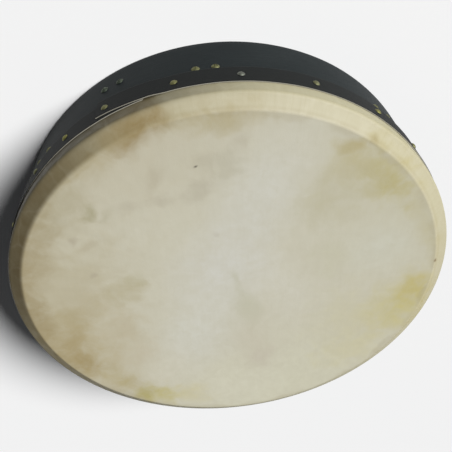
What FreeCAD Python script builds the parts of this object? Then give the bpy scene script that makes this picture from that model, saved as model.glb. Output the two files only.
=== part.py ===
# A tunable frame drum: a goatskin head on a deep black hoop, with an inner
# tuning ring raised by eight screws and a cross of two bars to hold it by.
# Millimetres. +Z runs along the drum's axis towards the head, and the origin
# is the centre of the open back edge, which the drum rests on. The crossbars
# lie along X and Y. Angles are in degrees about +Z, counted from +X.
import FreeCAD, Part
import math
import os

# Hoop
FRAME_DIAMETER = 457.2
FRAME_DEPTH = 108.0
FRAME_WALL = 9.0
RIM_ROUNDING = 2.0
RIM_INNER_ROUNDING = 1.0
BACK_ROUNDING = 2.5

# Head
SKIN_THICKNESS = 0.8
SKIRT_UNDER_STRIP = 27.0

# Tuning ring, at rest at playing tension
RING_WALL = 10.0
RING_HEIGHT = 22.0
RING_GAP = 1.4
RING_CREST_ROUNDING = 4.5
RING_EDGE_ROUNDING = 1.5
RING_RISE = 5.3
RING_TO_SKIN = 0.3
WEAR_PLATE = (22.0, 9.0, 1.5)

# Trim strip, wound once round the skirt and lapped over its own start
STRIP_BELOW_RIM = 17.3
STRIP_WIDTH = 27.6
STRIP_THICKNESS = 1.1
STRIP_LAYER_GAP = 0.05
STRIP_START = 261.5
STRIP_END = 272.8
STRIP_RAMP = 4.5
STRIP_END_DRIFT = 5.6

# Tacks through the strip
TACK_BELOW_RIM = 31.0
TACK_HEAD_DIAMETER = 6.8
TACK_HEAD_HEIGHT = 1.9
TACK_SHANK_DIAMETER = 1.4
TACK_SHANK_LENGTH = 9.0
TACK_FROM_STRIP_END = 2.2
LAP_TACKS = 2
LAP_TACK_STEP = 11.8
FREE_TACK_STEPS = 21
TACK_WANDER = 1.0
TACK_LEVEL_WANDER = 1.4

# Tuners
TUNERS = 8
TUNER_BELOW_RIM = 50.9
BLOCK_WIDTH = 30.0
BLOCK_HEIGHT = 14.0
BLOCK_DEPTH = 13.0
BLOCK_CORNER = 2.5
BLOCK_SCREW_SPACING = 17.6
BOLT_DIAMETER = 5.9
BOLT_LENGTH = 45.0
BOLT_RUNNING_CLEARANCE = 0.05
BOLT_TIP_CHAMFER = 0.8
BOLT_TO_PLATE = 0.1
BOLT_HEAD_DIAMETER = 10.0
BOLT_HEAD_HEIGHT = 6.0
BOLT_HEAD_CHAMFER = 0.6
HEX_ACROSS_FLATS = 5.0
HEX_DEPTH = 3.2

# Crossbars
BAR_FROM_BACK = 31.5
BAR_WIDTH = 28.0
BAR_HEIGHT = 18.0
BAR_ROUNDING = 5.0
BAR_SCREW_SPACING = 16.8
BAR_SCREW_GRIP = 21.0
CENTRE_SCREW_LENGTH = 14.0

# Cross-head screws
SCREW_HEAD_DIAMETER = 7.6
SCREW_HEAD_HEIGHT = 2.1
SCREW_SHANK_DIAMETER = 4.0
SCREW_TIP = 1.5
BLOCK_SCREW_GRIP = 8.5
CROSS_SLOT = (4.4, 1.1, 1.3)

# Places that follow from those sizes
FRAME_RADIUS = FRAME_DIAMETER / 2
INNER_RADIUS = FRAME_RADIUS - FRAME_WALL
RIM_TOP = FRAME_DEPTH + SKIN_THICKNESS
RING_RADIUS = INNER_RADIUS - RING_GAP
RING_TOP = FRAME_DEPTH + RING_RISE
RING_FOOT = RING_TOP - RING_HEIGHT
BOLT_CIRCLE = RING_RADIUS - RING_WALL / 2
HEAD_UNDERSIDE = RING_TOP + RING_TO_SKIN
STRIP_RADIUS = FRAME_RADIUS + SKIN_THICKNESS
STRIP_TOP = RIM_TOP - STRIP_BELOW_RIM
STRIP_FOOT = STRIP_TOP - STRIP_WIDTH
LAP_RADIUS = STRIP_RADIUS + STRIP_THICKNESS + STRIP_LAYER_GAP
TUNER_LEVEL = RIM_TOP - TUNER_BELOW_RIM
TUNER_STEP = 360.0 / TUNERS
UP = FreeCAD.Vector(0, 0, 1)
ORIGIN = FreeCAD.Vector(0, 0, 0)


def polar(radius, angle, z=0.0):
    """The point at that radius and angle."""
    turn = math.radians(angle)
    return FreeCAD.Vector(radius * math.cos(turn), radius * math.sin(turn), z)


def in_section(r, z):
    """A point of the half section through the axis that is later revolved."""
    return FreeCAD.Vector(r, 0, z)


def turned(shape, angle):
    """A copy of the shape, turned about the drum's axis."""
    copy = shape.copy()
    copy.rotate(ORIGIN, UP, angle)
    return copy


def facing_outwards(shape, radius, angle, z):
    """A copy of a shape made along +Z, laid radially with its +Z outwards."""
    copy = shape.copy()
    copy.rotate(ORIGIN, FreeCAD.Vector(0, 1, 0), 90)
    copy.translate(FreeCAD.Vector(radius, 0, z))
    copy.rotate(ORIGIN, UP, angle)
    return copy


def rounded_outline(corners):
    """The closed face through (point, rounding) corners, in any one plane."""
    stretches = []
    for i, (point, rounding) in enumerate(corners):
        back = (corners[i - 1][0] - point).normalize()
        ahead = (corners[(i + 1) % len(corners)][0] - point).normalize()
        if rounding == 0:
            stretches.append((point, point, None))
            continue
        half = back.getAngle(ahead) / 2
        middle = (back + ahead).normalize()
        reach = rounding / math.tan(half)
        crown = point + middle * (rounding / math.sin(half) - rounding)
        stretches.append((point + back * reach, point + ahead * reach, crown))
    edges = []
    for i, (start, end, crown) in enumerate(stretches):
        if crown is not None:
            edges.append(Part.Arc(start, crown, end).toShape())
        following = stretches[(i + 1) % len(stretches)][0]
        if (following - end).Length > 1e-6:
            edges.append(Part.LineSegment(end, following).toShape())
    return Part.Face(Part.Wire(edges))


def revolved(face):
    """The solid of revolution of a half section about the drum's axis."""
    return face.revolve(ORIGIN, UP, 360)


def cross_head_screw(length):
    """A domed cross-head screw: seat at z 0, head above, shank below."""
    head_radius = SCREW_HEAD_DIAMETER / 2
    shank_radius = SCREW_SHANK_DIAMETER / 2
    crown = FreeCAD.Vector(head_radius * 0.72, 0, SCREW_HEAD_HEIGHT * 0.72)
    dome = Part.Arc(in_section(head_radius, 0), crown, in_section(0, SCREW_HEAD_HEIGHT))
    outline = [
        in_section(0, SCREW_HEAD_HEIGHT),
        in_section(0, -length),
        in_section(shank_radius * 0.3, -length),
        in_section(shank_radius, SCREW_TIP - length),
        in_section(shank_radius, 0),
        in_section(head_radius, 0),
    ]
    edges = [Part.LineSegment(a, b).toShape() for a, b in zip(outline, outline[1:])]
    screw = revolved(Part.Face(Part.Wire(edges + [dome.toShape()])))
    slot_length, slot_width, slot_depth = CROSS_SLOT
    for size_x, size_y in ((slot_length, slot_width), (slot_width, slot_length)):
        corner = FreeCAD.Vector(-size_x / 2, -size_y / 2, SCREW_HEAD_HEIGHT - slot_depth)
        screw = screw.cut(Part.makeBox(size_x, size_y, SCREW_HEAD_HEIGHT, corner))
    return screw


def shank(diameter, length):
    """The straight hole that a screw or tack of that length sits in."""
    return Part.makeCylinder(diameter / 2, length, ORIGIN, FreeCAD.Vector(0, 0, -1))


def pair_angles(centre, spacing):
    """The angles of two screws that far apart on the hoop's outer face."""
    half = math.degrees(math.asin(spacing / 2 / FRAME_RADIUS))
    return [centre - half, centre + half]


def tuner_angles():
    """Tuners stand half a step off the crossbars."""
    return [TUNER_STEP * (i + 0.5) for i in range(TUNERS)]


def block_screw_places():
    """(angle, level) of the screws that hold the tuner blocks."""
    places = []
    for centre in tuner_angles():
        for angle in pair_angles(centre, BLOCK_SCREW_SPACING):
            places.append((angle, TUNER_LEVEL))
    return places


def bar_screw_places():
    """(angle, level) of the screws into the ends of the crossbars."""
    places = []
    for centre in (0, 90, 180, 270):
        for angle in pair_angles(centre, BAR_SCREW_SPACING):
            places.append((angle, BAR_FROM_BACK))
    return places


def tack_places():
    """(angle, level, seat radius) of the tacks, set by hand round the strip."""
    seat = STRIP_RADIUS + STRIP_THICKNESS
    level = RIM_TOP - TACK_BELOW_RIM
    first = STRIP_END - TACK_FROM_STRIP_END
    places = [(first, level - TACK_LEVEL_WANDER, LAP_RADIUS + STRIP_THICKNESS)]
    for i in range(1, LAP_TACKS + 1):
        places.append((first + LAP_TACK_STEP * i, level - TACK_LEVEL_WANDER, seat))
    last_lap = first + LAP_TACK_STEP * LAP_TACKS
    step = (360.0 - LAP_TACK_STEP * LAP_TACKS) / FREE_TACK_STEPS
    for i in range(1, FREE_TACK_STEPS):
        along = TACK_WANDER * (math.sin(2.1 * i) + i / FREE_TACK_STEPS)
        across = TACK_LEVEL_WANDER * math.sin(1.05 * i)
        places.append((last_lap + step * i + along, level + across, seat))
    return places


def at_each(shape, places, radius):
    """One shape laid radially at each (angle, level)."""
    return [facing_outwards(shape, radius, angle, z) for angle, z in places]


def tack_holes():
    """The holes that the tacks make in the strip, the skirt and the hoop."""
    hole = shank(TACK_SHANK_DIAMETER, TACK_SHANK_LENGTH)
    return [facing_outwards(hole, seat, angle, level) for angle, level, seat in tack_places()]


def frame_shell():
    """The bent wooden hoop, drilled for its screws and tacks."""
    shell = revolved(rounded_outline([
        (in_section(INNER_RADIUS, 0), BACK_ROUNDING),
        (in_section(FRAME_RADIUS, 0), BACK_ROUNDING),
        (in_section(FRAME_RADIUS, FRAME_DEPTH), RIM_ROUNDING),
        (in_section(INNER_RADIUS, FRAME_DEPTH), RIM_INNER_ROUNDING),
    ]))
    hole = shank(SCREW_SHANK_DIAMETER, FRAME_WALL * 1.5)
    screws = at_each(hole, block_screw_places() + bar_screw_places(), FRAME_RADIUS)
    return shell.cut(screws + tack_holes())


def bevel_ends(rim_radius, crest_radius):
    """Where the line over the rim's and the ring's round edges touches each."""
    rim = in_section(FRAME_RADIUS - RIM_ROUNDING, FRAME_DEPTH - RIM_ROUNDING)
    crest = in_section(RING_RADIUS - RING_CREST_ROUNDING, RING_TOP - RING_CREST_ROUNDING)
    across = crest - rim
    lean = math.acos((rim_radius - crest_radius) / across.Length)
    tilt = math.atan2(across.z, across.x) - lean
    normal = in_section(math.cos(tilt), math.sin(tilt))
    return rim, crest, normal, rim + normal * rim_radius, crest + normal * crest_radius


def skin_side(offset):
    """Edges of one face of the skin, from the skirt's foot to the axis."""
    rim_radius = RIM_ROUNDING + offset
    crest_radius = RING_CREST_ROUNDING + RING_TO_SKIN + offset
    rim, crest, normal, rim_end, crest_end = bevel_ends(rim_radius, crest_radius)
    out = FreeCAD.Vector(1, 0, 0)
    foot = in_section(FRAME_RADIUS + offset, STRIP_TOP - SKIRT_UNDER_STRIP)
    shoulder = rim + out * rim_radius
    flat_start = crest + UP * crest_radius
    centre = in_section(0, flat_start.z)
    return [
        Part.LineSegment(foot, shoulder).toShape(),
        Part.Arc(shoulder, rim + (out + normal).normalize() * rim_radius, rim_end).toShape(),
        Part.LineSegment(rim_end, crest_end).toShape(),
        Part.Arc(crest_end, crest + (normal + UP).normalize() * crest_radius, flat_start).toShape(),
        Part.LineSegment(flat_start, centre).toShape(),
    ]


def goatskin_head():
    """The skin: a flat field, a bevel over the ring, and the tacked skirt."""
    outer = skin_side(SKIN_THICKNESS)
    inner = skin_side(0.0)
    ends = [
        Part.LineSegment(inner[0].Vertexes[0].Point, outer[0].Vertexes[0].Point).toShape(),
        Part.LineSegment(inner[-1].Vertexes[-1].Point, outer[-1].Vertexes[-1].Point).toShape(),
    ]
    section = Part.Wire(Part.__sortEdges__(outer + inner + ends))
    return revolved(Part.Face(section)).cut(tack_holes())


def strip_sector(inner_radius, start, end, foot, height):
    """A stretch of the strip lying round a cylinder."""
    outer_radius = inner_radius + STRIP_THICKNESS
    middle = (start + end) / 2
    edges = [
        Part.Arc(polar(inner_radius, start), polar(inner_radius, middle), polar(inner_radius, end)),
        Part.LineSegment(polar(inner_radius, end), polar(outer_radius, end)),
        Part.Arc(polar(outer_radius, end), polar(outer_radius, middle), polar(outer_radius, start)),
        Part.LineSegment(polar(outer_radius, start), polar(inner_radius, start)),
    ]
    face = Part.Face(Part.Wire([edge.toShape() for edge in edges]))
    face.translate(UP * foot)
    return face.extrude(UP * height)


def trim_strip():
    """The strip: one turn, a ramp onto its own start, and a lapped end."""
    ramp_end = STRIP_START - 0.8
    ramp_start = ramp_end - STRIP_RAMP
    turn = strip_sector(STRIP_RADIUS, STRIP_START, ramp_start + 360, STRIP_FOOT, STRIP_WIDTH)
    ramp_points = [
        polar(STRIP_RADIUS, ramp_start),
        polar(STRIP_RADIUS + STRIP_THICKNESS, ramp_start),
        polar(LAP_RADIUS + STRIP_THICKNESS, ramp_end),
        polar(LAP_RADIUS, ramp_end),
    ]
    ramp_face = Part.Face(Part.makePolygon(ramp_points + ramp_points[:1]))
    ramp_face.translate(UP * STRIP_FOOT)
    ramp = ramp_face.extrude(UP * STRIP_WIDTH)
    step = strip_sector(LAP_RADIUS, ramp_end, STRIP_START, STRIP_FOOT, STRIP_WIDTH)
    lap_length = LAP_RADIUS * math.radians(STRIP_END - STRIP_START)
    slope = math.degrees(math.atan(STRIP_END_DRIFT / lap_length))
    room = STRIP_END_DRIFT * 2
    lap = strip_sector(LAP_RADIUS, STRIP_START, STRIP_END, STRIP_FOOT - room, STRIP_WIDTH + 2 * room)
    corner = FreeCAD.Vector(-STRIP_WIDTH, -lap_length, STRIP_FOOT)
    band = Part.makeBox(STRIP_WIDTH * 2, lap_length * 3, STRIP_WIDTH, corner)
    band.rotate(FreeCAD.Vector(0, 0, STRIP_FOOT), FreeCAD.Vector(1, 0, 0), -slope)
    band.translate(FreeCAD.Vector(LAP_RADIUS, 0, 0))
    lap = lap.common(turned(band, STRIP_START))
    return turn.fuse([ramp, step, lap]).removeSplitter().cut(tack_holes())


def trim_tacks():
    """The domed brass tacks, one solid each."""
    head_radius = TACK_HEAD_DIAMETER / 2
    rounding = (head_radius**2 + TACK_HEAD_HEIGHT**2) / (2 * TACK_HEAD_HEIGHT)
    ball = Part.makeSphere(rounding, FreeCAD.Vector(0, 0, TACK_HEAD_HEIGHT - rounding))
    cap = Part.makeCylinder(head_radius * 1.1, TACK_HEAD_HEIGHT * 1.1)
    tack = ball.common(cap).fuse(shank(TACK_SHANK_DIAMETER, TACK_SHANK_LENGTH))
    return [facing_outwards(tack, seat, angle, level) for angle, level, seat in tack_places()]


def wear_plates():
    """The steel plates let into the ring's foot, one over each bolt."""
    length, width, thickness = WEAR_PLATE
    corner = FreeCAD.Vector(BOLT_CIRCLE - width / 2, -length / 2, RING_FOOT)
    plate = Part.makeBox(width, length, thickness, corner)
    return [turned(plate, angle) for angle in tuner_angles()]


def tuning_ring():
    """The hoop inside the frame that lifts the skin."""
    ring = revolved(rounded_outline([
        (in_section(RING_RADIUS - RING_WALL, RING_FOOT), RING_EDGE_ROUNDING / 3),
        (in_section(RING_RADIUS, RING_FOOT), RING_EDGE_ROUNDING / 3),
        (in_section(RING_RADIUS, RING_TOP), RING_CREST_ROUNDING),
        (in_section(RING_RADIUS - RING_WALL, RING_TOP), RING_EDGE_ROUNDING),
    ]))
    return ring.cut(wear_plates())


def tuner_block(angle):
    """A threaded block screwed to the inside of the hoop."""
    front = BOLT_CIRCLE - BLOCK_DEPTH / 2
    foot = TUNER_LEVEL - BLOCK_HEIGHT / 2
    half = BLOCK_WIDTH / 2
    beyond = FRAME_RADIUS
    outline = [
        (FreeCAD.Vector(front, -half, foot), BLOCK_CORNER),
        (FreeCAD.Vector(beyond, -half, foot), 0),
        (FreeCAD.Vector(beyond, half, foot), 0),
        (FreeCAD.Vector(front, half, foot), BLOCK_CORNER),
    ]
    block = rounded_outline(outline).extrude(UP * BLOCK_HEIGHT)
    block = block.common(Part.makeCylinder(INNER_RADIUS, FRAME_DEPTH))
    bore_radius = BOLT_DIAMETER / 2 + BOLT_RUNNING_CLEARANCE
    bore = Part.makeCylinder(bore_radius, FRAME_DEPTH, FreeCAD.Vector(BOLT_CIRCLE, 0, 0))
    tapped = shank(SCREW_SHANK_DIAMETER, FRAME_WALL + BLOCK_SCREW_GRIP)
    places = [(at, TUNER_LEVEL) for at in pair_angles(0, BLOCK_SCREW_SPACING)]
    return turned(block.cut([bore] + at_each(tapped, places, FRAME_RADIUS)), angle)


def tuner_bolt(angle):
    """A socket-head bolt, head down, with its tip under the ring."""
    tip = RING_FOOT - BOLT_TO_PLATE
    shoulder = tip - BOLT_LENGTH
    base = shoulder - BOLT_HEAD_HEIGHT
    radius = BOLT_DIAMETER / 2
    head_radius = BOLT_HEAD_DIAMETER / 2
    outline = [
        in_section(0, tip),
        in_section(radius - BOLT_TIP_CHAMFER, tip),
        in_section(radius, tip - BOLT_TIP_CHAMFER),
        in_section(radius, shoulder),
        in_section(head_radius, shoulder),
        in_section(head_radius, base + BOLT_HEAD_CHAMFER),
        in_section(head_radius - BOLT_HEAD_CHAMFER, base),
        in_section(0, base),
    ]
    bolt = revolved(Part.Face(Part.makePolygon(outline + outline[:1])))
    corner_radius = HEX_ACROSS_FLATS / 2 / math.cos(math.radians(30))
    corners = [polar(corner_radius, 60 * i, base) for i in range(7)]
    bolt = bolt.cut(Part.Face(Part.makePolygon(corners)).extrude(UP * HEX_DEPTH))
    bolt.translate(FreeCAD.Vector(BOLT_CIRCLE, 0, 0))
    return turned(bolt, angle)


def crossbar(angle, lapped_above):
    """One bar of the cross, halved at the middle to let the other in."""
    half = BAR_WIDTH / 2
    foot = BAR_FROM_BACK - BAR_HEIGHT / 2
    top = BAR_FROM_BACK + BAR_HEIGHT / 2
    corners = [(-half, foot), (half, foot), (half, top), (-half, top)]
    outline = [(FreeCAD.Vector(-FRAME_RADIUS, y, z), BAR_ROUNDING) for y, z in corners]
    bar = rounded_outline(outline).extrude(FreeCAD.Vector(FRAME_DIAMETER, 0, 0))
    bar = bar.common(Part.makeCylinder(INNER_RADIUS, FRAME_DEPTH))
    notch_foot = BAR_FROM_BACK if lapped_above else BAR_FROM_BACK - BAR_HEIGHT
    corner = FreeCAD.Vector(-half, -BAR_WIDTH, notch_foot)
    notch = Part.makeBox(BAR_WIDTH, BAR_WIDTH * 2, BAR_HEIGHT, corner)
    grip = shank(SCREW_SHANK_DIAMETER, FRAME_WALL + BAR_SCREW_GRIP)
    holes = []
    for end in (0, 180):
        places = [(at, BAR_FROM_BACK) for at in pair_angles(end, BAR_SCREW_SPACING)]
        holes += at_each(grip, places, FRAME_RADIUS)
    holes.append(Part.makeCylinder(SCREW_SHANK_DIAMETER / 2, CENTRE_SCREW_LENGTH, UP * foot))
    return turned(bar.cut([notch] + holes), angle)


def crossbar_centre_screw():
    """The screw that holds the halved joint, its head towards the open back."""
    screw = cross_head_screw(CENTRE_SCREW_LENGTH)
    screw.rotate(ORIGIN, FreeCAD.Vector(1, 0, 0), 180)
    screw.translate(UP * (BAR_FROM_BACK - BAR_HEIGHT / 2))
    return screw


def nodes():
    """Every piece of the drum, by its node's name."""
    block_screw = cross_head_screw(FRAME_WALL + BLOCK_SCREW_GRIP)
    bar_screw = cross_head_screw(FRAME_WALL + BAR_SCREW_GRIP)
    made = {
        "frame_shell": [frame_shell()],
        "goatskin_head": [goatskin_head()],
        "trim_strip": [trim_strip()],
        "trim_tacks": trim_tacks(),
        "tuning_ring": [tuning_ring()],
        "wear_plates": wear_plates(),
        "tuner_block_screws": at_each(block_screw, block_screw_places(), FRAME_RADIUS),
        "crossbar_x": [crossbar(0, True)],
        "crossbar_y": [crossbar(90, False)],
        "crossbar_end_screws": at_each(bar_screw, bar_screw_places(), FRAME_RADIUS),
        "crossbar_centre_screw": [crossbar_centre_screw()],
    }
    for number, angle in enumerate(tuner_angles(), start=1):
        made[f"tuner_block_{number}"] = [tuner_block(angle)]
        made[f"tuner_bolt_{number}"] = [tuner_bolt(angle)]
    return made


def main():
    """Writes one STEP file for each node."""
    os.makedirs("parts", exist_ok=True)
    for name, solids in nodes().items():
        found = [solid for shape in solids for solid in shape.Solids]
        print(f"{name}: {len(found)} solids, {sum(s.Volume for s in found) / 1000:.2f} cm3")
        Part.makeCompound(found).exportStep(f"parts/{name}.step")


main()
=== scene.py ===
"""Dresses a tunable frame drum: its skin, trim, fastenings and tuning gear.

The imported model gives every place. Lengths are in metres and angles in
degrees about the drum's axis, +Z, counted from +X, unless a name says so.
"""

import logging
import math
from collections.abc import Sequence
from dataclasses import dataclass, field
from enum import Enum
from typing import ClassVar

import bmesh
import bpy
import numpy as np
from mathutils import Matrix, Vector


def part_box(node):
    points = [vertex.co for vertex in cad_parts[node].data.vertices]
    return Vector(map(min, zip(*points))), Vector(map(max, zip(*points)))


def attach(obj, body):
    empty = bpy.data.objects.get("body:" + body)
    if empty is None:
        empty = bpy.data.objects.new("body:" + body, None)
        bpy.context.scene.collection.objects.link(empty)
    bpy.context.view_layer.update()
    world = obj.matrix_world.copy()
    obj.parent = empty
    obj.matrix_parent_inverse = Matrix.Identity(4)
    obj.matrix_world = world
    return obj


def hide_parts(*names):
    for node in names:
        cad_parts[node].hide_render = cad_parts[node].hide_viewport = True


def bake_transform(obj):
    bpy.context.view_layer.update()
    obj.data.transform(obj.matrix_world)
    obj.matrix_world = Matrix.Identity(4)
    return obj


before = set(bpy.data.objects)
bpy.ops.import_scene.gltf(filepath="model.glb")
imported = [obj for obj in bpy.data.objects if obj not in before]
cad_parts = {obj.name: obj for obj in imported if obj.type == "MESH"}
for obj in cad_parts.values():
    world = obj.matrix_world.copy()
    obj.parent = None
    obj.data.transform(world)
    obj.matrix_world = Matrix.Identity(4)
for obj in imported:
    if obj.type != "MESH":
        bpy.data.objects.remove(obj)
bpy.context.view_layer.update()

LOG = logging.getLogger("frame_drum")
IMAGE_WIDTH = 452
MM = 0.001

Colour = tuple[float, float, float]
Socket = bpy.types.NodeSocket
Value = float | Socket
Tint = Colour | Socket
Point = tuple[float, float]


class Body(Enum):
    """The rigid bodies that pieces ride on."""

    FRAME = "frame"
    RING = "tuning_ring"


class Slot(Enum):
    """The material slots."""

    SHELL = "shell_black"
    SKIN = "goatskin"
    TRIM = "trim_vinyl"
    TACKS = "brass_tacks"
    RING = "ring_ply"
    PLATES = "plate_steel"
    SCREWS = "brass_screws"
    BARS = "bar_black"
    BLOCKS = "block_steel"
    BOLTS = "bolt_steel"


# ---------------------------------------------------------------- node trees


class Shading:
    """A material's node tree, written as sums of sockets."""

    def __init__(self, name: str) -> None:
        """Starts an empty material.

        Args:
            name: the material's name.
        """
        self.material = bpy.data.materials.new(name)
        self.material.use_nodes = True
        self.tree = self.material.node_tree
        self.tree.nodes.clear()
        self.output = self.tree.nodes.new("ShaderNodeOutputMaterial")
        self.surface = self.tree.nodes.new("ShaderNodeBsdfPrincipled")
        self.tree.links.new(self.surface.outputs[0], self.output.inputs["Surface"])

    def feed(self, target: Socket, value: Value | Tint) -> None:
        """Links a socket to the target, or sets the target's own value.

        Args:
            target: the input socket.
            value: a socket, a number or a colour.
        """
        if isinstance(value, bpy.types.NodeSocket):
            self.tree.links.new(value, target)
        elif isinstance(value, (int, float)):
            target.default_value = value
        else:
            size = len(target.default_value)
            target.default_value = (*value, 1.0)[:size] if size == 4 else value

    def node(self, kind: str, **settings: object) -> bpy.types.Node:
        """A new node with its settings.

        Args:
            kind: the node's Blender type.
            **settings: attributes to set on it.

        Returns:
            The node.
        """
        made = self.tree.nodes.new(kind)
        for key, value in settings.items():
            setattr(made, key, value)
        return made

    def object_place(self) -> Socket:
        """The point on the object, in metres."""
        return self.node("ShaderNodeTexCoord").outputs["Object"]

    def math(self, operation: str, a: Value, b: Value = 0.0) -> Socket:
        """One step of arithmetic.

        Args:
            operation: the Math node's operation.
            a: first term.
            b: second term.

        Returns:
            The result's socket.
        """
        made = self.node("ShaderNodeMath", operation=operation)
        self.feed(made.inputs[0], a)
        self.feed(made.inputs[1], b)
        return made.outputs[0]

    def add(self, a: Value, b: Value) -> Socket:
        """a + b."""
        return self.math("ADD", a, b)

    def times(self, a: Value, b: Value) -> Socket:
        """a * b."""
        return self.math("MULTIPLY", a, b)

    def split(self, vector: Socket) -> tuple[Socket, Socket, Socket]:
        """The three parts of a vector.

        Args:
            vector: the vector.

        Returns:
            Its x, y and z.
        """
        made = self.node("ShaderNodeSeparateXYZ")
        self.feed(made.inputs[0], vector)
        return made.outputs[0], made.outputs[1], made.outputs[2]

    def radius(self, place: Socket) -> Socket:
        """Distance from the drum's axis.

        Args:
            place: the point on the object.

        Returns:
            The distance, in metres.
        """
        flat = self.stretched(place, (1.0, 1.0, 0.0))
        made = self.node("ShaderNodeVectorMath", operation="LENGTH")
        self.feed(made.inputs[0], flat)
        return made.outputs["Value"]

    def stretched(self, place: Socket, scale: Sequence[float]) -> Socket:
        """The place with each axis scaled, to draw a pattern out.

        Args:
            place: the point on the object.
            scale: the factor along each axis.

        Returns:
            The scaled vector.
        """
        made = self.node("ShaderNodeVectorMath", operation="MULTIPLY")
        self.feed(made.inputs[0], place)
        made.inputs[1].default_value = tuple(scale)
        return made.outputs[0]

    def around(self, place: Socket) -> Socket:
        """The direction from the axis, for patterns by angle.

        Args:
            place: the point on the object.

        Returns:
            The direction, one unit long.
        """
        flat = self.stretched(place, (1.0, 1.0, 0.0))
        made = self.node("ShaderNodeVectorMath", operation="NORMALIZE")
        self.feed(made.inputs[0], flat)
        return made.outputs[0]

    def laid(
        self, place: Socket, at: Sequence[float], turn: float, size: Sequence[float]
    ) -> Socket:
        """The place in the frame of a patch that is laid on the object.

        Args:
            place: the point on the object.
            at: the patch's middle.
            turn: its turn about +Z, in degrees.
            size: its half sizes.

        Returns:
            The vector, one unit long at the patch's edge.
        """
        made = self.node("ShaderNodeMapping", vector_type="TEXTURE")
        self.feed(made.inputs["Vector"], place)
        made.inputs["Location"].default_value = tuple(at)
        made.inputs["Rotation"].default_value = (0.0, 0.0, math.radians(turn))
        made.inputs["Scale"].default_value = tuple(size)
        return made.outputs[0]

    def noise(
        self,
        place: Socket,
        grain: float,
        detail: float = 3.0,
        roughness: float = 0.5,
        distortion: float = 0.0,
    ) -> Socket:
        """Cloudy noise.

        Args:
            place: where it is read.
            grain: the size of its blotches, in the place's own unit.
            detail: octaves.
            roughness: strength of the finer octaves.
            distortion: how far it is swirled.

        Returns:
            The noise, about 0 to 1.
        """
        made = self.node("ShaderNodeTexNoise")
        self.feed(made.inputs["Vector"], place)
        made.inputs["Scale"].default_value = 1.0 / grain
        made.inputs["Detail"].default_value = detail
        made.inputs["Roughness"].default_value = roughness
        made.inputs["Distortion"].default_value = distortion
        return made.outputs[0]

    def warped(self, place: Socket, grain: float, reach: float) -> Socket:
        """The place pushed about by noise, so that edges on it wander.

        Args:
            place: the point on the object.
            grain: the size of the noise's blotches.
            reach: the most that a point is pushed, in metres.

        Returns:
            The pushed point.
        """
        swirl = self.node("ShaderNodeTexNoise")
        self.feed(swirl.inputs["Vector"], place)
        swirl.inputs["Scale"].default_value = 1.0 / grain
        swirl.inputs["Detail"].default_value = 3.0
        centred = self.node("ShaderNodeVectorMath", operation="SUBTRACT")
        self.feed(centred.inputs[0], swirl.outputs["Color"])
        centred.inputs[1].default_value = (0.5, 0.5, 0.5)
        push = self.stretched(centred.outputs[0], (2 * reach, 2 * reach, 0.0))
        made = self.node("ShaderNodeVectorMath", operation="ADD")
        self.feed(made.inputs[0], place)
        self.feed(made.inputs[1], push)
        return made.outputs[0]

    def cells(self, place: Socket, grain: float, edges: bool = False) -> Socket:
        """Distances in a pattern of cells.

        Args:
            place: where it is read.
            grain: the cells' size.
            edges: reads the distance to a cell's edge, not to its middle.

        Returns:
            The distance, in cell sizes.
        """
        made = self.node("ShaderNodeTexVoronoi")
        if edges:
            made.feature = "DISTANCE_TO_EDGE"
        self.feed(made.inputs["Vector"], place)
        made.inputs["Scale"].default_value = 1.0 / grain
        return made.outputs["Distance"]

    def step(
        self, value: Value, low: float, high: float, start: float = 0.0, end: float = 1.0
    ) -> Socket:
        """A smooth step.

        Args:
            value: what is read.
            low: where the step starts.
            high: where it ends.
            start: the result at low.
            end: the result at high.

        Returns:
            The result's socket.
        """
        made = self.node("ShaderNodeMapRange", interpolation_type="SMOOTHSTEP")
        if low > high:
            low, high, start, end = high, low, end, start
        self.feed(made.inputs["Value"], value)
        made.inputs["From Min"].default_value = low
        made.inputs["From Max"].default_value = high
        made.inputs["To Min"].default_value = start
        made.inputs["To Max"].default_value = end
        return made.outputs[0]

    def blend(self, share: Value, a: Tint, b: Tint, way: str = "MIX") -> Socket:
        """Colour a, going over to b.

        Args:
            share: how much of b.
            a: first colour.
            b: second colour.
            way: the blend type.

        Returns:
            The colour's socket.
        """
        made = self.node("ShaderNodeMix", data_type="RGBA", blend_type=way)
        self.feed(made.inputs[0], share)
        self.feed(made.inputs[6], a)
        self.feed(made.inputs[7], b)
        return made.outputs[2]

    def relief(self, height: Socket, depth: float, under: Socket | None = None) -> Socket:
        """A normal from a height map.

        Args:
            height: the map, 0 to 1.
            depth: what 1 stands for, in metres.
            under: a coarser normal that it lies on.

        Returns:
            The normal's socket.
        """
        made = self.node("ShaderNodeBump")
        made.inputs["Strength"].default_value = 1.0
        made.inputs["Distance"].default_value = depth
        self.feed(made.inputs["Height"], height)
        if under is not None:
            self.feed(made.inputs["Normal"], under)
        return made.outputs[0]

    def finish(self, **inputs: Value | Tint) -> bpy.types.Material:
        """Sets the surface's inputs.

        Args:
            **inputs: its inputs, with _ for a space.

        Returns:
            The material.
        """
        for key, value in inputs.items():
            self.feed(self.surface.inputs[key.replace("_", " ")], value)
        return self.material


# ------------------------------------------------------------------- meshes


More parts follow.
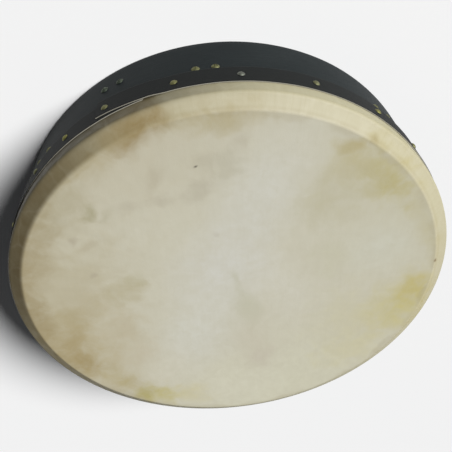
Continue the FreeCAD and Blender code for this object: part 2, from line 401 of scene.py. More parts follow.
@dataclass(frozen=True)
class Wander:
    """A smooth wave round a full turn, made of a few whole-number waves."""

    seed: int
    slowest: int
    fastest: int
    waves: int = 7

    def at(self, angle: np.ndarray, drift: np.ndarray | float = 0.0) -> np.ndarray:
        """The wave's height.

        Args:
            angle: in radians.
            drift: shifts the waves, each by its own share, as along a height.

        Returns:
            Heights, about -1 to 1.
        """
        rng = np.random.default_rng(self.seed)
        orders = rng.integers(self.slowest, self.fastest + 1, self.waves)
        phases = rng.uniform(0.0, math.tau, self.waves)
        shares = rng.uniform(-1.0, 1.0, self.waves)
        total = sum(
            np.cos(order * angle + phase + share * drift)
            for order, phase, share in zip(orders, phases, shares)
        )
        return total / math.sqrt(2.0 * self.waves)


def smooth_step(value: np.ndarray | float, low: float, high: float) -> np.ndarray:
    """A smooth step.

    Args:
        value: what is read.
        low: where the step starts, at 0.
        high: where it ends, at 1.

    Returns:
        The step's height at each value.
    """
    share = np.clip((np.asarray(value, float) - low) / (high - low), 0.0, 1.0)
    return share * share * (3.0 - 2.0 * share)


def arc(centre: Point, radius: float, start: float, end: float, count: int) -> list[Point]:
    """Points along an arc in a half section.

    Args:
        centre: its centre, (r, z).
        radius: its radius.
        start: its first angle, in degrees from the r axis.
        end: its last angle.
        count: how many points.

    Returns:
        The points, both ends included.
    """
    turns = np.radians(np.linspace(start, end, count))
    return [(centre[0] + radius * math.cos(t), centre[1] + radius * math.sin(t)) for t in turns]


def straight(start: Point, end: Point, count: int) -> list[Point]:
    """Points inside a straight stretch.

    Args:
        start: one end, which is left out.
        end: the other end, which is left out.
        count: how many points.

    Returns:
        The points, evenly spaced.
    """
    shares = [i / (count + 1) for i in range(1, count + 1)]
    return [tuple(a + (b - a) * t for a, b in zip(start, end)) for t in shares]


def bridged(
    name: str,
    loops: np.ndarray,
    materials: Sequence[bpy.types.Material],
    hoop: bool = False,
    bands: Sequence[int] | None = None,
    cap_band: int = 0,
    sharp: float = 40.0,
) -> bpy.types.Object:
    """A closed surface through a row of loops.

    Args:
        name: the piece's name.
        loops: the loops' points, indexed by loop, point and axis.
        materials: the piece's materials.
        hoop: joins the last loop to the first; otherwise both ends are capped.
        bands: the material of each column between neighbouring points of a
            loop, or of each row between loops for a hoop or a turned piece.
        cap_band: the caps' material.
        sharp: edges sharper than this many degrees stay crisp.

    Returns:
        The new object, its faces outwards.
    """
    rows, columns = loops.shape[:2]
    points = loops.reshape(-1, 3)
    row = np.arange(rows if hoop else rows - 1)[:, None]
    column = np.arange(columns)[None, :]
    ahead, beside = (row + 1) % rows, (column + 1) % columns
    corners = [
        row * columns + column,
        row * columns + beside,
        ahead * columns + beside,
        ahead * columns + column,
    ]
    quads = np.stack(np.broadcast_arrays(*corners), axis=-1).reshape(-1, 4)
    chosen = np.zeros(len(quads), int)
    if bands is not None:
        by_row = len(bands) == len(row)
        grid = np.array(bands)[:, None] if by_row else np.array(bands)[None, :]
        chosen = np.broadcast_to(grid, (len(row), columns)).reshape(-1)
    faces = quads.tolist()
    if not hoop:
        first, last = len(points), len(points) + 1
        points = np.vstack([points, loops[0].mean(0), loops[-1].mean(0)])
        base = (rows - 1) * columns
        for i in range(columns):
            faces.append([first, (i + 1) % columns, i])
            faces.append([last, base + i, base + (i + 1) % columns])
        chosen = np.concatenate([chosen, np.full(2 * columns, cap_band)])
    if enclosed(points, faces) < 0:
        faces = [face[::-1] for face in faces]
    mesh = bpy.data.meshes.new(name)
    mesh.from_pydata(points.tolist(), [], faces)
    mesh.polygons.foreach_set("material_index", chosen.astype(np.int32))
    for material in materials:
        mesh.materials.append(material)
    mesh.shade_smooth()
    mesh.set_sharp_from_angle(angle=math.radians(sharp))
    made = bpy.data.objects.new(name, mesh)
    bpy.context.scene.collection.objects.link(made)
    return made


def enclosed(points: np.ndarray, faces: Sequence[Sequence[int]]) -> float:
    """The volume that a closed surface holds.

    Args:
        points: its points.
        faces: the point numbers of each face.

    Returns:
        The volume, negative if the faces face inwards.
    """
    middle = points.mean(0)
    total = 0.0
    for size in {len(face) for face in faces}:
        group = np.array([face for face in faces if len(face) == size])
        first = points[group[:, 0]] - middle
        for i in range(1, size - 1):
            second = points[group[:, i]] - middle
            third = points[group[:, i + 1]] - middle
            total += float(np.einsum("ij,ij->i", first, np.cross(second, third)).sum())
    return total / 6.0


def turned(profile: Sequence[Point], angles: np.ndarray) -> np.ndarray:
    """Loops of a turned piece, one for each point of its half section.

    Args:
        profile: (r, z) points.
        angles: the directions, in radians.

    Returns:
        The loops' points.
    """
    section = np.array(profile)
    flat = section[:, :1] * np.cos(angles)[None, :]
    across = section[:, :1] * np.sin(angles)[None, :]
    level = np.broadcast_to(section[:, 1:], flat.shape)
    return np.stack([flat, across, level], axis=-1)


def full_turn(count: int) -> np.ndarray:
    """Evenly spaced directions, in radians."""
    return np.arange(count) * (math.tau / count)


def dressed(piece: bpy.types.Object, body: str, slot: Slot, *nodes: str) -> bpy.types.Object:
    """Puts a finished piece on its body, in place of its CAD nodes.

    Args:
        piece: the piece.
        body: the body that it rides on.
        slot: the material slot; not used.
        *nodes: the nodes that it stands for.

    Returns:
        The piece.
    """
    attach(piece, body)
    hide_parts(*nodes)
    report(piece)
    return piece


def report(piece: bpy.types.Object) -> None:
    """Logs a piece and its size."""
    triangles = sum(len(face.vertices) - 2 for face in piece.data.polygons)
    LOG.info("%s: %d triangles", piece.name, triangles)


# ---------------------------------------------------------------- finishes


@dataclass(frozen=True)
class Stain:
    """A patch of colour in the skin, placed on the head one by one.

    Its middle and half sizes are in millimetres on the head, seen from above.
    Raggedness is how far its edge breaks up into blotches.
    """

    name: str
    middle: tuple[float, float]
    half: tuple[float, float]
    turn: float
    colour: Colour
    strength: float
    ragged: float = 0.8


WASHES = (
    Stain("north", (20, 190), (230, 120), 0, (0.610, 0.592, 0.455), 0.90, 0.3),
    Stain("north_pale", (70, 150), (80, 70), 0, (0.625, 0.606, 0.480), 0.80, 0.3),
    Stain("west", (-200, -20), (90, 150), 0, (0.552, 0.528, 0.398), 0.80, 0.3),
    Stain("south", (20, -205), (190, 90), 0, (0.522, 0.485, 0.365), 0.85, 0.4),
    # The east wash is partly a brown stain and partly painted shade, darker towards the east edge
    # where the light falls off.
    Stain("east", (204, -36), (106, 165), 0, (0.458, 0.396, 0.245), 0.95, 0.4),
    Stain("south_east", (130, -118), (92, 78), -30, (0.492, 0.450, 0.318), 0.85, 0.5),
    Stain("band_low", (-78, -100), (95, 50), 45, (0.600, 0.588, 0.508), 0.90, 0.25),
    Stain("band_branch", (-46, 18), (38, 84), 8, (0.608, 0.588, 0.490), 0.80, 0.25),
    Stain("band_middle", (-4, -36), (72, 56), 40, (0.610, 0.600, 0.534), 0.95, 0.2),
    Stain("band_high", (62, 34), (86, 50), 40, (0.612, 0.603, 0.522), 0.90, 0.25),
    Stain("band_end", (128, 76), (50, 36), 38, (0.615, 0.592, 0.480), 0.60, 0.3),
    Stain("pale_patch", (-157, 24), (46, 44), 0, (0.585, 0.575, 0.472), 0.90, 0.4),
    Stain("south_east_band", (84, -186), (64, 26), 24, (0.425, 0.385, 0.260), 0.75, 0.5),
    Stain("east_ground", (146, -92), (66, 40), 10, (0.478, 0.435, 0.308), 0.60, 0.4),
)

BLOTCHES = (
    Stain("north_west_wash", (-96, 122), (58, 75), 0, (0.570, 0.538, 0.378), 0.80, 0.5),
    Stain("north_west_top", (-70, 165), (50, 34), 0, (0.585, 0.550, 0.370), 0.70),
    Stain("north_west_yellow", (-148, 124), (52, 44), 50, (0.540, 0.488, 0.240), 0.90, 0.4),
    Stain("north_west_deep", (-170, 104), (34, 24), 60, (0.500, 0.430, 0.160), 0.70, 0.5),
    Stain("west_edge", (-207, 20), (14, 90), 0, (0.515, 0.475, 0.310), 0.60),
    Stain("west_mark", (-107, 8), (22, 38), -10, (0.545, 0.525, 0.395), 0.70),
    Stain("west_olive", (-188, -60), (28, 44), 10, (0.475, 0.425, 0.215), 0.95),
    Stain("west_olive_low", (-166, -90), (30, 26), 20, (0.485, 0.435, 0.250), 0.70, 0.6),
    Stain("west_brown", (-176, -106), (16, 9), -50, (0.440, 0.375, 0.190), 0.65),
    Stain("west_inner", (-136, -66), (46, 38), 10, (0.505, 0.475, 0.335), 0.80),
    Stain("south_west_edge", (-80, -192), (60, 15), -21, (0.440, 0.385, 0.230), 0.75),
    Stain("south_brown", (-19, -217), (37, 21), 0, (0.300, 0.222, 0.098), 0.97, 0.4),
    Stain("south_brown_faint", (30, -212), (46, 12), 8, (0.420, 0.360, 0.215), 0.65),
    Stain("south_mottle_left", (-70, -147), (19, 14), 20, (0.475, 0.450, 0.345), 0.75, 1.1),
    Stain("south_mottle_low", (-52, -158), (15, 10), -20, (0.485, 0.455, 0.350), 0.65, 1.1),
    Stain("south_mottle", (-30, -134), (17, 14), 30, (0.475, 0.445, 0.345), 0.75, 1.1),
    Stain("south_mottle_right", (-2, -147), (14, 11), 0, (0.480, 0.445, 0.345), 0.65, 1.1),
    Stain("south_spot", (64, -166), (12, 9), 20, (0.370, 0.340, 0.210), 0.80),
    Stain("south_spot_faint", (52, -156), (12, 8), 20, (0.430, 0.400, 0.280), 0.60),
    Stain("south_east_edge", (146, -152), (30, 88), -44, (0.365, 0.305, 0.180), 0.82, 0.5),
    Stain("east_mottle", (96, -63), (27, 17), -10, (0.468, 0.425, 0.285), 0.75),
    Stain("east_mottle_dark", (77, -72), (14, 12), 0, (0.440, 0.405, 0.260), 0.50),
    Stain("east_mottle_mid", (136, -64), (34, 20), 10, (0.462, 0.410, 0.270), 0.70, 0.6),
    Stain("east_mottle_far", (168, -62), (26, 28), 0, (0.425, 0.365, 0.218), 0.75, 0.5),
    Stain("east_brown", (200, 2), (26, 40), 0, (0.365, 0.290, 0.145), 0.90, 0.5),
    Stain("east_brown_low", (190, -34), (28, 28), 0, (0.395, 0.325, 0.178), 0.80, 0.5),
    Stain("east_edge", (194, -84), (20, 54), -20, (0.335, 0.270, 0.145), 0.85, 0.5),
    Stain("east_inner", (130, -20), (32, 28), 30, (0.505, 0.455, 0.325), 0.75, 0.6),
    Stain("east_grey", (140, 30), (36, 22), 35, (0.550, 0.505, 0.385), 0.60),
    Stain("north_east_yellow", (133, 130), (34, 26), -40, (0.575, 0.530, 0.335), 0.75),
    Stain("north_east_olive", (161, 112), (32, 24), -50, (0.500, 0.450, 0.215), 0.90),
    Stain("north_east_dark", (178, 98), (17, 24), -30, (0.420, 0.370, 0.160), 0.80, 0.6),
    Stain("north_east_brown", (184, 60), (20, 30), 0, (0.445, 0.382, 0.210), 0.85, 0.5),
    Stain("centre_shade", (0, 26), (15, 40), -10, (0.515, 0.500, 0.380), 0.72, 0.6),
    Stain("centre_shade_low", (-10, -14), (6, 26), -14, (0.520, 0.505, 0.395), 0.70),
    Stain("pink_shade", (20, 92), (30, 58), -10, (0.560, 0.525, 0.415), 0.75, 0.5),
    Stain("pink_mark", (22, 120), (18, 22), 0, (0.535, 0.492, 0.395), 0.55),
    Stain("south_east_dot", (105, -103), (6, 4.5), 0, (0.420, 0.375, 0.280), 0.60),
    Stain("south_east_dot_low", (94, -150), (5, 4), 0, (0.400, 0.350, 0.260), 0.70),
    Stain("dark_dot", (-43, -161), (1.8, 1.8), 0, (0.060, 0.050, 0.040), 0.95, 0.0),
    Stain("centre_dot", (-25, -82), (4, 3), 0, (0.500, 0.470, 0.400), 0.50),
    Stain("crest_nick", (-203, 76), (4.5, 2.2), 70, (0.140, 0.090, 0.050), 0.90, 0.2),
    Stain("crest_mark", (-191, -99), (7, 3.5), 30, (0.380, 0.330, 0.180), 0.60),
    Stain("south_fleck_a", (-96, -164), (14, 8), 30, (0.480, 0.445, 0.340), 0.70),
    Stain("south_fleck_b", (30, -152), (16, 9), -20, (0.485, 0.450, 0.345), 0.70),
    Stain("south_fleck_c", (-8, -168), (20, 9), 10, (0.475, 0.435, 0.325), 0.70),
    Stain("south_fleck_d", (86, -136), (12, 8), 0, (0.470, 0.430, 0.315), 0.60),
    Stain("rim_grime", (66, -216), (90, 12), 14, (0.410, 0.355, 0.225), 0.70),
)


@dataclass(frozen=True)
class HeadLevels:
    """The head's levels and the radius of its crest, in metres."""

    field_top: float
    crest_radius: float
    rim_level: float


@dataclass(frozen=True)
class HeadPlace:
    """Where a point lies on the head, as a node tree reads it.

    The last two are how far it is past the crest and below the rim, 0 to 1.
    """

    point: Socket
    pushed: Socket
    level: Socket
    mottle: Socket
    past_crest: Socket
    below_rim: Socket


@dataclass(frozen=True)
class Goatskin:
    """Natural cream goatskin, matt, cloudy and stained."""

    pale: Colour = (0.577, 0.553, 0.440)
    bevel: Colour = (0.800, 0.782, 0.705)
    skirt: Colour = (0.560, 0.545, 0.450)
    # Brown grime and painted shade on the side of the bevel and the skirt that is turned from the
    # key light.
    bevel_grime_and_shade: Colour = (0.335, 0.305, 0.240)
    skirt_grime_and_shade: Colour = (0.150, 0.138, 0.098)
    grime_and_shade_side: float = 306.0
    vein: Colour = (0.520, 0.480, 0.370)
    # The colour of the crest and rim lines: grime, and painted shade that dulls the highlights on
    # the roundings.
    crest_grime_and_shade: Colour = (0.330, 0.275, 0.150)
    crest_share: float = 0.26
    rim_share: float = 0.12
    freckle: Colour = (0.40, 0.33, 0.22)
    thin_tone: Colour = (0.980, 0.976, 0.965)
    thick_tone: Colour = (1.015, 1.015, 1.018)
    hair_turn: float = 64.0
    stripe: Colour = (0.80, 0.76, 0.66)
    stripe_share: float = 0.16
    pull_reach: float = 230 * MM
    gloss: float = 0.30
    wander: float = 13 * MM

    def read_at(self, s: Shading, levels: HeadLevels) -> HeadPlace:
        """Reads where a point lies on the head.

        Args:
            s: the node tree.
            levels: the head's levels.

        Returns:
            The sockets that the other methods read.
        """
        point = s.object_place()
        pushed = s.warped(point, 34 * MM, self.wander)
        crest, rim = levels.crest_radius, levels.rim_level
        level = s.split(point)[2]
        return HeadPlace(
            point=point,
            pushed=pushed,
            level=level,
            mottle=s.noise(pushed, 11 * MM, 5.0, 0.60),
            past_crest=s.step(s.radius(point), crest - 1 * MM, crest + 5 * MM),
            below_rim=s.step(level, rim + 1.5 * MM, rim - 3 * MM),
        )

    def stained(self, s: Shading, at: HeadPlace, field_top: float) -> Socket:
        """Lays every wash and blotch over the pale hide.

        Args:
            s: the node tree.
            at: the place on the head.
            field_top: the level of the field.

        Returns:
            The colour.
        """
        colour: Tint = self.pale
        blotch = s.times(s.add(s.noise(at.pushed, 19 * MM, 3.0, 0.5), -0.5), 2.0)
        breakup = s.step(at.mottle, 0.25, 0.75, 0.72, 1.12)
        for stain in (*WASHES, *BLOTCHES):
            middle = (stain.middle[0] * MM, stain.middle[1] * MM, field_top)
            half = (stain.half[0] * MM, stain.half[1] * MM, 1.0)
            away = s.node("ShaderNodeVectorMath", operation="LENGTH")
            s.feed(away.inputs[0], s.laid(at.pushed, middle, stain.turn, half))
            reach = s.add(away.outputs["Value"], s.times(blotch, stain.ragged))
            cover = s.times(s.step(reach, 1.25, 0.0, 0.0, stain.strength), breakup)
            colour = s.blend(cover, colour, stain.colour)
        return colour

    def edge_tone(self, s: Shading, at: HeadPlace) -> Socket:
        """The factor by which the bevel and the skirt are darker, with brown grime and painted
        shade on the side turned from the key light.

        Args:
            s: the node tree.
            at: the place on the head.

        Returns:
            The factor's colour.
        """
        # Painted shade, with some grime: the bevel and the skirt darken towards the side turned
        # from the key light.
        side = math.radians(self.grime_and_shade_side)
        facing = s.node("ShaderNodeVectorMath", operation="DOT_PRODUCT")
        s.feed(facing.inputs[0], s.around(at.pushed))
        facing.inputs[1].default_value = (math.cos(side), math.sin(side), 0.0)
        toward = facing.outputs["Value"]
        bevel = s.blend(s.step(toward, 0.72, 1.0), self.bevel, self.bevel_grime_and_shade)
        skirt = s.blend(s.step(toward, 0.25, 0.97), self.skirt, self.skirt_grime_and_shade)
        return s.blend(at.below_rim, s.blend(at.past_crest, (1.0, 1.0, 1.0), bevel), skirt)

    def grime_and_shade_lines(self, s: Shading, at: HeadPlace, levels: HeadLevels) -> Socket:
        """How much grime and painted shade lies along the crest and the rim, dulling the highlights
        on their roundings.

        Args:
            s: the node tree.
            at: the place on the head.
            levels: the head's levels.

        Returns:
            The share of grime.
        """
        crest, rim = levels.crest_radius, levels.rim_level
        # Painted shade, partly grime, along the crest's and the rim's roundings where the skin
        # bends.
        crest_line = s.times(
            s.step(s.radius(at.pushed), crest - 6 * MM, crest + 1 * MM),
            s.step(s.radius(at.point), crest + 7 * MM, crest + 3 * MM),
        )
        rim_line = s.times(
            s.step(at.level, rim + 6 * MM, rim + 2 * MM),
            s.step(at.level, rim - 6 * MM, rim - 2 * MM),
        )
        lines = s.add(s.times(crest_line, self.crest_share), s.times(rim_line, self.rim_share))
        return s.times(s.step(at.mottle, 0.3, 0.6, 0.5, 1.0), lines)

    def grown(self, s: Shading, at: HeadPlace, colour: Socket) -> Socket:
        """Adds the hide's own hair streaks, veins and freckles.

        Args:
            s: the node tree.
            at: the place on the head.
            colour: the colour beneath.

        Returns:
            The colour.
        """
        streaks = s.laid(at.point, (0.0, 0.0, 0.0), self.hair_turn, (1.0, 1.0, 1.0))
        hair = s.noise(s.stretched(streaks, (1.0, 7.0, 1.0)), 30 * MM, 5.0, 0.7, 0.4)
        tone = s.step(s.add(s.times(hair, 0.5), s.times(at.mottle, 0.5)), 0.3, 0.7)
        colour = s.blend(1.0, colour, s.blend(tone, self.thin_tone, self.thick_tone), "MULTIPLY")
        network = s.cells(s.warped(at.point, 26 * MM, 12 * MM), 52 * MM, edges=True)
        veins = s.step(network, 0.0, 0.04, 0.10, 0.0)
        colour = s.blend(s.times(veins, hair), colour, self.vein)
        freckles = s.step(s.noise(at.point, 1.6 * MM, 2.0, 0.5), 0.70, 0.78, 0.0, 0.18)
        return s.blend(freckles, colour, self.freckle)

    def material(self, levels: HeadLevels) -> bpy.types.Material:
        """Builds the skin's material.

        Args:
            levels: the head's levels.

        Returns:
            The material.
        """
        s = Shading("goatskin")
        at = self.read_at(s, levels)
        # The stains, with grime and painted shade along the crest and the rim.
        soiled_and_shaded = s.blend(
            self.grime_and_shade_lines(s, at, levels), self.stained(s, at, levels.field_top), self.crest_grime_and_shade
        )
        colour = s.blend(1.0, soiled_and_shaded, self.edge_tone(s, at), "MULTIPLY")
        colour = self.grown(s, at, colour)
        spread = (self.pull_reach, self.pull_reach, 0.0)
        pulled = s.noise(s.stretched(s.around(at.point), spread), 2.4 * MM, 4.0, 0.6)
        edge = s.math("MAXIMUM", at.past_crest, at.below_rim)
        stripes = s.times(s.step(pulled, 0.45, 0.75), s.times(edge, self.stripe_share))
        colour = s.blend(stripes, colour, s.blend(1.0, colour, self.stripe, "MULTIPLY"))
        coarse = s.relief(s.times(pulled, edge), 0.018 * MM)
        waves = s.relief(s.noise(at.point, 9 * MM, 4.0, 0.6), 0.07 * MM, coarse)
        fine = s.relief(s.cells(at.point, 0.8 * MM), 0.03 * MM, waves)
        rough = s.step(at.mottle, 0.3, 0.7, 0.52, 0.66)
        return s.finish(
            Base_Color=colour, Roughness=rough, Specular_IOR_Level=self.gloss, Normal=fine
        )


@dataclass(frozen=True)
class Lacquer:
    """Black satin lacquer, thin enough to show the wood's grain."""

    name: str
    colour: Colour
    worn: Colour
    roughness: float = 0.50
    gloss: float = 0.09
    grain: tuple[float, float, float] = (1.0, 1.0, 14.0)
    wood: Colour = (0.085, 0.050, 0.026)
    scuff: Colour = (0.050, 0.050, 0.048)
    rubbed_to: float = 0.0

    def material(self) -> bpy.types.Material:
        """Builds the lacquer's material.

        Returns:
            The material.
        """
        s = Shading(self.name)
        place = s.object_place()
        grain = s.noise(s.stretched(place, self.grain), 22 * MM, 5.0, 0.6)
        pores = s.noise(s.stretched(place, self.grain), 5 * MM, 3.0, 0.7)
        haze = s.noise(place, 60 * MM, 3.0, 0.6)
        colour = s.blend(s.step(haze, 0.35, 0.75), self.colour, self.worn)
        lines = s.step(pores, 0.35, 0.65)
        figure = s.blend(lines, (0.78, 0.78, 0.78), (1.20, 1.19, 1.17))
        colour = s.blend(1.0, colour, figure, "MULTIPLY")
        marks = s.noise(s.warped(place, 8 * MM, 3 * MM), 4 * MM, 5.0, 0.75)
        scuffs = s.step(marks, 0.62, 0.78, 0.0, 0.5)
        colour = s.blend(scuffs, colour, s.blend(0.5, self.worn, self.scuff))
        if self.rubbed_to > 0.0:
            low = s.step(s.split(place)[2], self.rubbed_to, 0.0)
            broken = s.add(low, s.noise(place, 9 * MM, 4.0, 0.7))
            rubbed = s.step(broken, 1.42, 1.60, 0.0, 0.7)
            colour = s.blend(rubbed, colour, self.wood)
        rough = s.add(s.add(self.roughness, s.times(grain, 0.12)), s.times(scuffs, 0.2))
        bumps = s.relief(s.add(grain, s.times(pores, 0.6)), 0.08 * MM)
        return s.finish(
            Base_Color=colour, Roughness=rough, Specular_IOR_Level=self.gloss, Normal=bumps
        )


@dataclass(frozen=True)
class Leathercloth:
    """Black coated cloth with a fine pebbled grain."""

    dark: Colour = (0.0054, 0.0070, 0.0070)
    rubbed: Colour = (0.0088, 0.0098, 0.0092)

    def face(self) -> bpy.types.Material:
        """Builds the coated face's material.

        Returns:
            The material.
        """
        s = Shading("leathercloth")
        place = s.object_place()
        pebbles = s.relief(s.cells(place, 1.1 * MM), 0.08 * MM)
        colour = s.blend(s.noise(place, 30 * MM), self.dark, self.rubbed)
        return s.finish(Base_Color=colour, Roughness=0.60, Specular_IOR_Level=0.07, Normal=pebbles)

    def cut_edge(self) -> bpy.types.Material:
        """Builds the material of the pale cloth that shows at a cut.

        Returns:
            The material.
        """
        s = Shading("leathercloth_cut_edge")
        place = s.object_place()
        fibres = s.noise(place, 0.9 * MM, 3.0, 0.7)
        colour = s.blend(fibres, (0.15, 0.14, 0.11), (0.37, 0.355, 0.30))
        return s.finish(Base_Color=colour, Roughness=0.85, Normal=s.relief(fibres, 0.1 * MM))

    def backing(self) -> bpy.types.Material:
        """Builds the cloth backing's material, stained dark by the glue.

        Returns:
            The material.
        """
        s = Shading("leathercloth_backing")
        threads = s.noise(s.object_place(), 0.7 * MM, 3.0, 0.7)
        colour = s.blend(threads, (0.012, 0.012, 0.011), (0.040, 0.037, 0.031))
        return s.finish(Base_Color=colour, Roughness=0.8, Normal=s.relief(threads, 0.1 * MM))


@dataclass(frozen=True)
class Metal:
    """A plated or solid metal with handling marks."""

    name: str
    bright: Colour
    dull: Colour
    roughness: float = 0.28
    grain: float = 3 * MM
    tinted: bool = False

    def material(self) -> bpy.types.Material:
        """Builds the metal's material.

        Returns:
            The material.
        """
        s = Shading(self.name)
        place = s.object_place()
        tarnish = s.noise(place, self.grain, 4.0, 0.65)
        colour = s.blend(s.step(tarnish, 0.35, 0.75), self.bright, self.dull)
        if self.tinted:
            tint = s.node("ShaderNodeAttribute", attribute_name="tint").outputs["Vector"]
            colour = s.blend(1.0, colour, tint, "MULTIPLY")
        rough = s.add(self.roughness, s.times(tarnish, 0.18))
        fine = s.noise(place, 0.5 * MM, 3.0, 0.6)
        bumps = s.relief(fine, 0.015 * MM)
        return s.finish(Base_Color=colour, Metallic=1.0, Roughness=rough, Normal=bumps)


@dataclass(frozen=True)
class Plywood:
    """Clear-sealed ply, bent in a hoop, with its layers bare at the edges."""

    early: Colour = (0.50, 0.34, 0.18)
    late: Colour = (0.33, 0.20, 0.095)
    glue: Colour = (0.13, 0.075, 0.040)
    layer: float = 2.0 * MM

    def material(self, inner_radius: float, wall: float) -> bpy.types.Material:
        """Builds the plywood's material.

        Args:
            inner_radius: the hoop's inner radius.
            wall: its thickness.

        Returns:
            The material.
        """
        s = Shading("sealed_ply")
        place = s.object_place()
        along = s.stretched(place, (1.0, 1.0, 16.0))
        grain = s.noise(along, 26 * MM, 6.0, 0.65, 0.3)
        fine = s.noise(along, 6 * MM, 4.0, 0.7)
        figure = s.step(s.add(s.times(grain, 0.6), s.times(fine, 0.4)), 0.32, 0.68)
        colour = s.blend(figure, self.early, self.late)
        depth = s.add(s.radius(place), -inner_radius)
        count = round(wall / self.layer)
        inside = s.times(
            s.step(depth, 0.5 * MM, 0.9 * MM), s.step(depth, wall - 0.5 * MM, wall - 0.9 * MM)
        )
        phase = s.times(s.add(depth, s.times(s.add(grain, -0.5), 0.3 * MM)), count / wall)
        share = s.math("FRACT", phase)
        line = s.add(s.step(share, 0.10, 0.02), s.step(share, 0.90, 0.98))
        crossed = s.step(s.math("FRACT", s.times(phase, 0.5)), 0.49, 0.51)
        bare = s.blend(crossed, colour, s.blend(0.45, colour, self.late))
        bare = s.blend(s.times(line, 0.7), bare, self.glue)
        colour = s.blend(inside, colour, bare)
        rough = s.add(0.36, s.times(fine, 0.16))
        return s.finish(Base_Color=colour, Roughness=rough, Normal=s.relief(grain, 0.1 * MM))


# ------------------------------------------------------------ sub-assemblies


@dataclass
class SkinHead:
    """The goatskin: a flat field, a bevel down to the rim, and a skirt."""

    thickness: float = 0.8 * MM
    rim_rounding: float = 4.2 * MM
    crest_rounding: float = 5.6 * MM
    crest_inset: float = 4.5 * MM
    crest_drop: float = 5.6 * MM
    directions: int = 540
    ring_step: float = 6.0 * MM
    slack: float = 0.22 * MM
    pull: float = 0.07 * MM
    finish: Goatskin = field(default_factory=Goatskin)

    def __post_init__(self) -> None:
        """Reads the skin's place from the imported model."""
        low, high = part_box("goatskin_head")
        self.radius = high.x
        self.top = high.z
        self.foot = low.z
        self.ring_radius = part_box("tuning_ring")[1].x
        self.shell_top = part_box("frame_shell")[1].z

    def side(self, inset: float) -> list[Point]:
        """The half section of one face, from the axis to the skirt's foot.

        Args:
            inset: how far it lies inside the outer face.

        Returns:
            (r, z) points.
        """
        rim_radius = self.rim_rounding - inset
        crest_radius = self.crest_rounding - inset
        rim = (self.radius - self.rim_rounding, self.shell_top + self.thickness - self.rim_rounding)
        crest = (self.ring_radius - self.crest_inset, self.top - self.crest_drop)
        run = (crest[0] - rim[0], crest[1] - rim[1])
        lean = math.acos((rim_radius - crest_radius) / math.hypot(*run))
        tilt = math.degrees(math.atan2(run[1], run[0]) - lean)
        rings = round(crest[0] / self.ring_step)
        field_points = [(crest[0] * i / rings, self.top - inset) for i in range(1, rings)]
        crest_arc = arc(crest, crest_radius, 90.0, tilt, 9)
        rim_arc = arc(rim, rim_radius, tilt, 0.0, 8)
        foot = (self.radius - inset, self.foot)
        bevel = straight(crest_arc[-1], rim_arc[0], 8)
        skirt = straight(rim_arc[-1], foot, 14)
        middle = (self.ring_step / 8, self.top - inset)
        return [middle, *field_points, *crest_arc, *bevel, *rim_arc, *skirt, foot]

    def relaxed(self, loops: np.ndarray) -> np.ndarray:
        """Gives the skin the unevenness of one that dried in place.

        Args:
            loops: the skin's even loops of points.

        Returns:
            The loops, a little pulled and lifted.
        """
        x, y, z = np.moveaxis(loops, -1, 0)
        angle = np.arctan2(y, x)
        radius = np.hypot(x, y)
        on_field = smooth_step(radius, 0.2 * self.radius, self.ring_radius)
        above_rim = smooth_step(z, self.shell_top, self.top - self.thickness)
        below_rim = smooth_step(z, self.shell_top, self.shell_top - 8 * MM)
        slow = Wander(11, 2, 9).at(angle, 8.0 * radius / self.radius)
        quick = Wander(12, 40, 110, 12).at(angle)
        lift = above_rim * (self.slack * slow * on_field + 0.4 * self.pull * quick * on_field)
        pleats = Wander(13, 60, 170, 14).at(angle, z / (9 * MM))
        swell = below_rim * self.pull * (1.0 + pleats)
        grown = 1.0 + swell / np.maximum(radius, MM)
        return np.stack([x * grown, y * grown, z + lift], axis=-1)

    def build(self) -> bpy.types.Object:
        """Makes the skin and hangs it between the frame and the ring.

        Returns:
            The skin, as a plain mesh.
        """
        profile = self.side(0.0) + self.side(self.thickness)[::-1]
        loops = self.relaxed(turned(profile, full_turn(self.directions)))
        levels = HeadLevels(self.top, self.ring_radius - self.crest_inset, self.shell_top)
        skin = bridged("goatskin_head_skin", loops, [self.finish.material(levels)], sharp=50.0)
        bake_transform(skin)
        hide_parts("goatskin_head")
        report(skin)
        return skin


@dataclass(frozen=True)
class Seat:
    """Where a fastening stands on the hoop."""

    angle: float
    level: float
    radius: float

    def point(self) -> Vector:
        """Its place."""
        return self.outwards() * self.radius + Vector((0.0, 0.0, self.level))

    def outwards(self) -> Vector:
        """The direction that its head faces."""
        return Vector((math.cos(self.angle), math.sin(self.angle), 0.0))


def seats(node: str, head_height: float, gap: float = 1.0) -> list[Seat]:
    """The places of the fastenings that one node holds.

    Args:
        node: the node.
        head_height: how far a head stands out of its seat.
        gap: fastenings are at least this many degrees apart.

    Returns:
        One seat for each, by angle.
    """
    points = np.array([v.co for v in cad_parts[node].data.vertices])
    angles = np.arctan2(points[:, 1], points[:, 0])
    order = np.argsort(angles)
    breaks = np.flatnonzero(np.diff(angles[order]) > math.radians(gap)) + 1
    groups = np.split(order, breaks)
    if angles[groups[0]].min() + math.tau - angles[groups[-1]].max() < math.radians(gap):
        angles[groups[-1]] -= math.tau
        groups = [np.concatenate([groups[0], groups[-1]]), *groups[1:-1]]
    found = []
    for group in groups:
        reach = np.hypot(points[group, 0], points[group, 1]).max() - head_height
        outer = group[np.hypot(points[group, 0], points[group, 1]) > reach]
        angle = (angles[outer].min() + angles[outer].max()) / 2
        level = (points[outer, 2].min() + points[outer, 2].max()) / 2
        found.append(Seat(float(angle), float(level), float(reach)))
    return found


